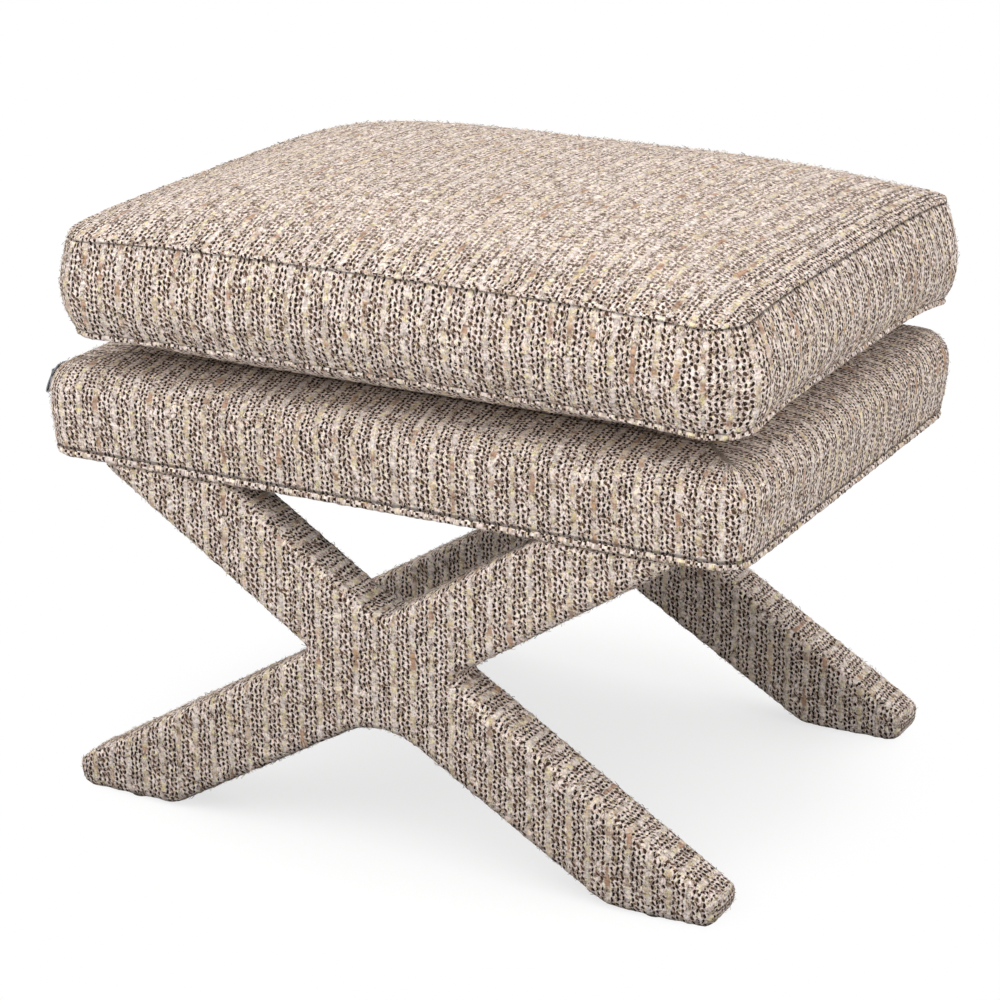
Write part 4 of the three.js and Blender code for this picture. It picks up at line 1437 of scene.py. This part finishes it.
# %% [markdown]
# ## Loose fibres
# Wool tweed is hairy. Along every rounded edge, where the light comes from behind, short fibres stand off the
# cloth. One fibre is modelled: a three-sided strand that rises as it goes. Thousands of copies, each of its own
# size and turn, are merged into one piece for each cover. Every copy takes the colour of the yarn at its root.

# %% One fibre
FIBRE_LENGTH = 3.2 * MM
FIBRE_RISE = 1.4 * MM
FIBRE_RADIUS = 0.15 * MM

bpy.ops.object.select_all(action="DESELECT")
root = (-FIBRE_LENGTH / 2, 0, 0)
bpy.ops.mesh.primitive_circle_add(vertices=3, radius=FIBRE_RADIUS, fill_type="NGON", location=root, rotation=UPRIGHT)
fibre = named("loose_fibre")
with editing():
    bpy.ops.mesh.select_all(action="SELECT")
    for share in (0.7, 0.3):
        extruded((FIBRE_LENGTH / 2, 0, FIBRE_RISE * share))
    turned_outward()
print("one fibre:", len(fibre.data.polygons), "faces")

# %% [markdown]
# The fibres are sown on the faces of a cover by dice with a fixed seed. The chance of a face grows with its area,
# and is four times as high on a rounded edge. None grows by the zip, on the floor side or where two covers touch.

# %% Fibres on the covers
EDGE_FUZZ = 4
ROOT_DEPTH = 0.2 * MM


def fuzz(host, name, body, count, seed, grows):
    """Copies of the fibre over a cover, most of them along its rounded edges."""
    mesh = host.data
    middle, normal = (read_all(mesh.polygons, key, 3) for key in ("center", "normal"))
    rounded = np.abs(normal).max(axis=1) < 0.97
    chance = read_all(mesh.polygons, "area") * np.where(rounded, EDGE_FUZZ, 1) * grows(middle, normal)
    dice = np.random.default_rng(seed)
    chosen = dice.choice(len(chance), count, p=chance / chance.sum())
    up = normal[chosen]
    run = np.cross(up, dice.normal(size=(count, 3)))
    run /= np.linalg.norm(run, axis=1, keepdims=True)
    size = dice.uniform(0.5, 1.25, (count, 1))
    stand = dice.uniform(0.4, 1.5, (count, 1))
    turns = np.stack([run * size, np.cross(up, run) * size, up * size * stand], axis=2)
    piece = merged_copies(name, fibre, turns, middle[chosen] - up * ROOT_DEPTH)
    layer = piece.data.uv_layers.new(name="weave")
    first = read_all(mesh.polygons, "loop_start", kind=np.int32)
    roots = read_all(mesh.uv_layers["weave"].uv, "vector", 2, np.float32)[first[chosen]]
    layer.uv.foreach_set("vector", np.repeat(roots, len(fibre.data.loops), axis=0).ravel())
    finished(piece, tweed, body)
    return piece


# %% Where the fibres grow


def on_cushion(middle, normal):
    near_zip = (middle[:, 1] > zip_low.y - 12 * MM) & (np.abs(middle[:, 2] - ZIP_MIDDLE) < 30 * MM)
    return (middle[:, 2] > LOWER_SEAM + 8 * MM) & ~near_zip


def on_base(middle, normal):
    return (middle[:, 2] > base_low.z + 9 * MM) & ((middle[:, 2] < SHOULDER_TOP - 3 * MM) | (normal[:, 2] < 0.8))


def on_x(middle, normal):
    return (middle[:, 2] > 7 * MM) & (middle[:, 2] < X_TOP - 8 * MM)


fibres = [
    fuzz(cushion, "cushion_fibres", "cushion", 12000, 3, on_cushion),
    fuzz(base, "base_fibres", "frame", 9000, 5, on_base),
    fuzz(front_x, "front_x_fibres", "frame", 7000, 7, on_x),
    fuzz(rear_x, "rear_x_fibres", "frame", 7000, 11, on_x),
]
bpy.data.objects.remove(fibre)
print("fibres:", sum(len(piece.data.polygons) for piece in fibres), "faces in all")

# %% [markdown]
# ## Floor, background and light
# The photograph has a white floor that hardly takes a shadow. For rays from the camera the floor is mostly white
# by itself, and only a share of it shows the light that falls on it, so the shadow stays faint and ends near the
# stool. For every other ray it is dark under the stool and pale further out, which keeps the legs darker than the
# seat, as they are in the photograph. Most of the light is the even light of the world, as in a white studio. Two
# weak soft boxes, at the front and at the right, give it a direction.

# %% Floor
FLOOR_WHITE = 0.64
FLOOR_NEAR, FLOOR_FAR = 0.08, 0.80
FLOOR_HALF = 20
SHADOW_REACH = (0.24, 0.38)
BOUNCE_REACH = (0.40, 0.90)
WORLD_LIGHT = 1.14
LAMP_AIM = Vector((0, 0, 0.3))

floor_finish = Finish("pale_floor", roughness=1.0, specular=0.0)
floor_x, floor_y, _ = object_place(floor_finish)
from_middle = (floor_x**2 + floor_y**2) ** 0.5 * MM
floor_colour = floor_finish.ramp(from_middle.step(*BOUNCE_REACH), [(0, (FLOOR_NEAR,) * 3), (1, (FLOOR_FAR,) * 3)])
directly = floor_finish.ray_is("Is Camera Ray", "Is Glossy Ray", "Is Transmission Ray")
floor_finish.done(floor_finish.blend(directly, floor_colour, (1.0, 1.0, 1.0)))
white_share = from_middle.step(*SHADOW_REACH) * (1 - FLOOR_WHITE) + FLOOR_WHITE
glow = floor_finish.node("ShaderNodeEmission", {}, {"Color": (1, 1, 1, 1), "Strength": 1.0})
shaders = {0: directly * white_share, 1: floor_finish.shader.outputs[0], 2: glow.outputs[0]}
mixed = floor_finish.node("ShaderNodeMixShader", {}, shaders)
floor_finish.feed(floor_finish.tree.nodes["Material Output"].inputs["Surface"], mixed.outputs[0])

bpy.ops.object.select_all(action="DESELECT")
bpy.ops.mesh.primitive_plane_add(size=2 * FLOOR_HALF, location=(0, 0, 0))
floor = named("floor")
floor.data.materials.append(floor_finish.material)


# %% World and lamps
world = bpy.data.worlds.new("studio")
bpy.context.scene.world = world
studio = NodeTree(world)
sky = studio.tree.nodes["Background"]
seen_white = {"Value": studio.ray_is("Is Camera Ray", "Is Glossy Ray"), "To Min": WORLD_LIGHT, "To Max": 1.0}
studio.feed(sky.inputs["Strength"], studio.node("ShaderNodeMapRange", {}, seen_white).outputs["Result"])
sky.inputs["Color"].default_value = (1, 1, 1, 1)


def lamp(name, place, size, power):
    """A square soft box that looks at the middle of the stool."""
    data = bpy.data.lights.new(name, "AREA")
    data.energy = power
    data.size = size
    piece = linked(name, data)
    piece.location = place
    piece.rotation_euler = (LAMP_AIM - Vector(place)).to_track_quat("-Z", "Y").to_euler()
    return piece


lamps = [
    lamp("soft_box_front", (-0.6, -1.9, 2.2), 1.8, 18),
    lamp("soft_box_right", (2.1, -1.0, 1.9), 1.6, 8),
]
print(len(lamps), "lamps and a world of", WORLD_LIGHT)

# %% [markdown]
# ## Picture settings and the end
# The picture keeps plain colours.

# %% Finish
bpy.context.scene.view_settings.view_transform = "Standard"
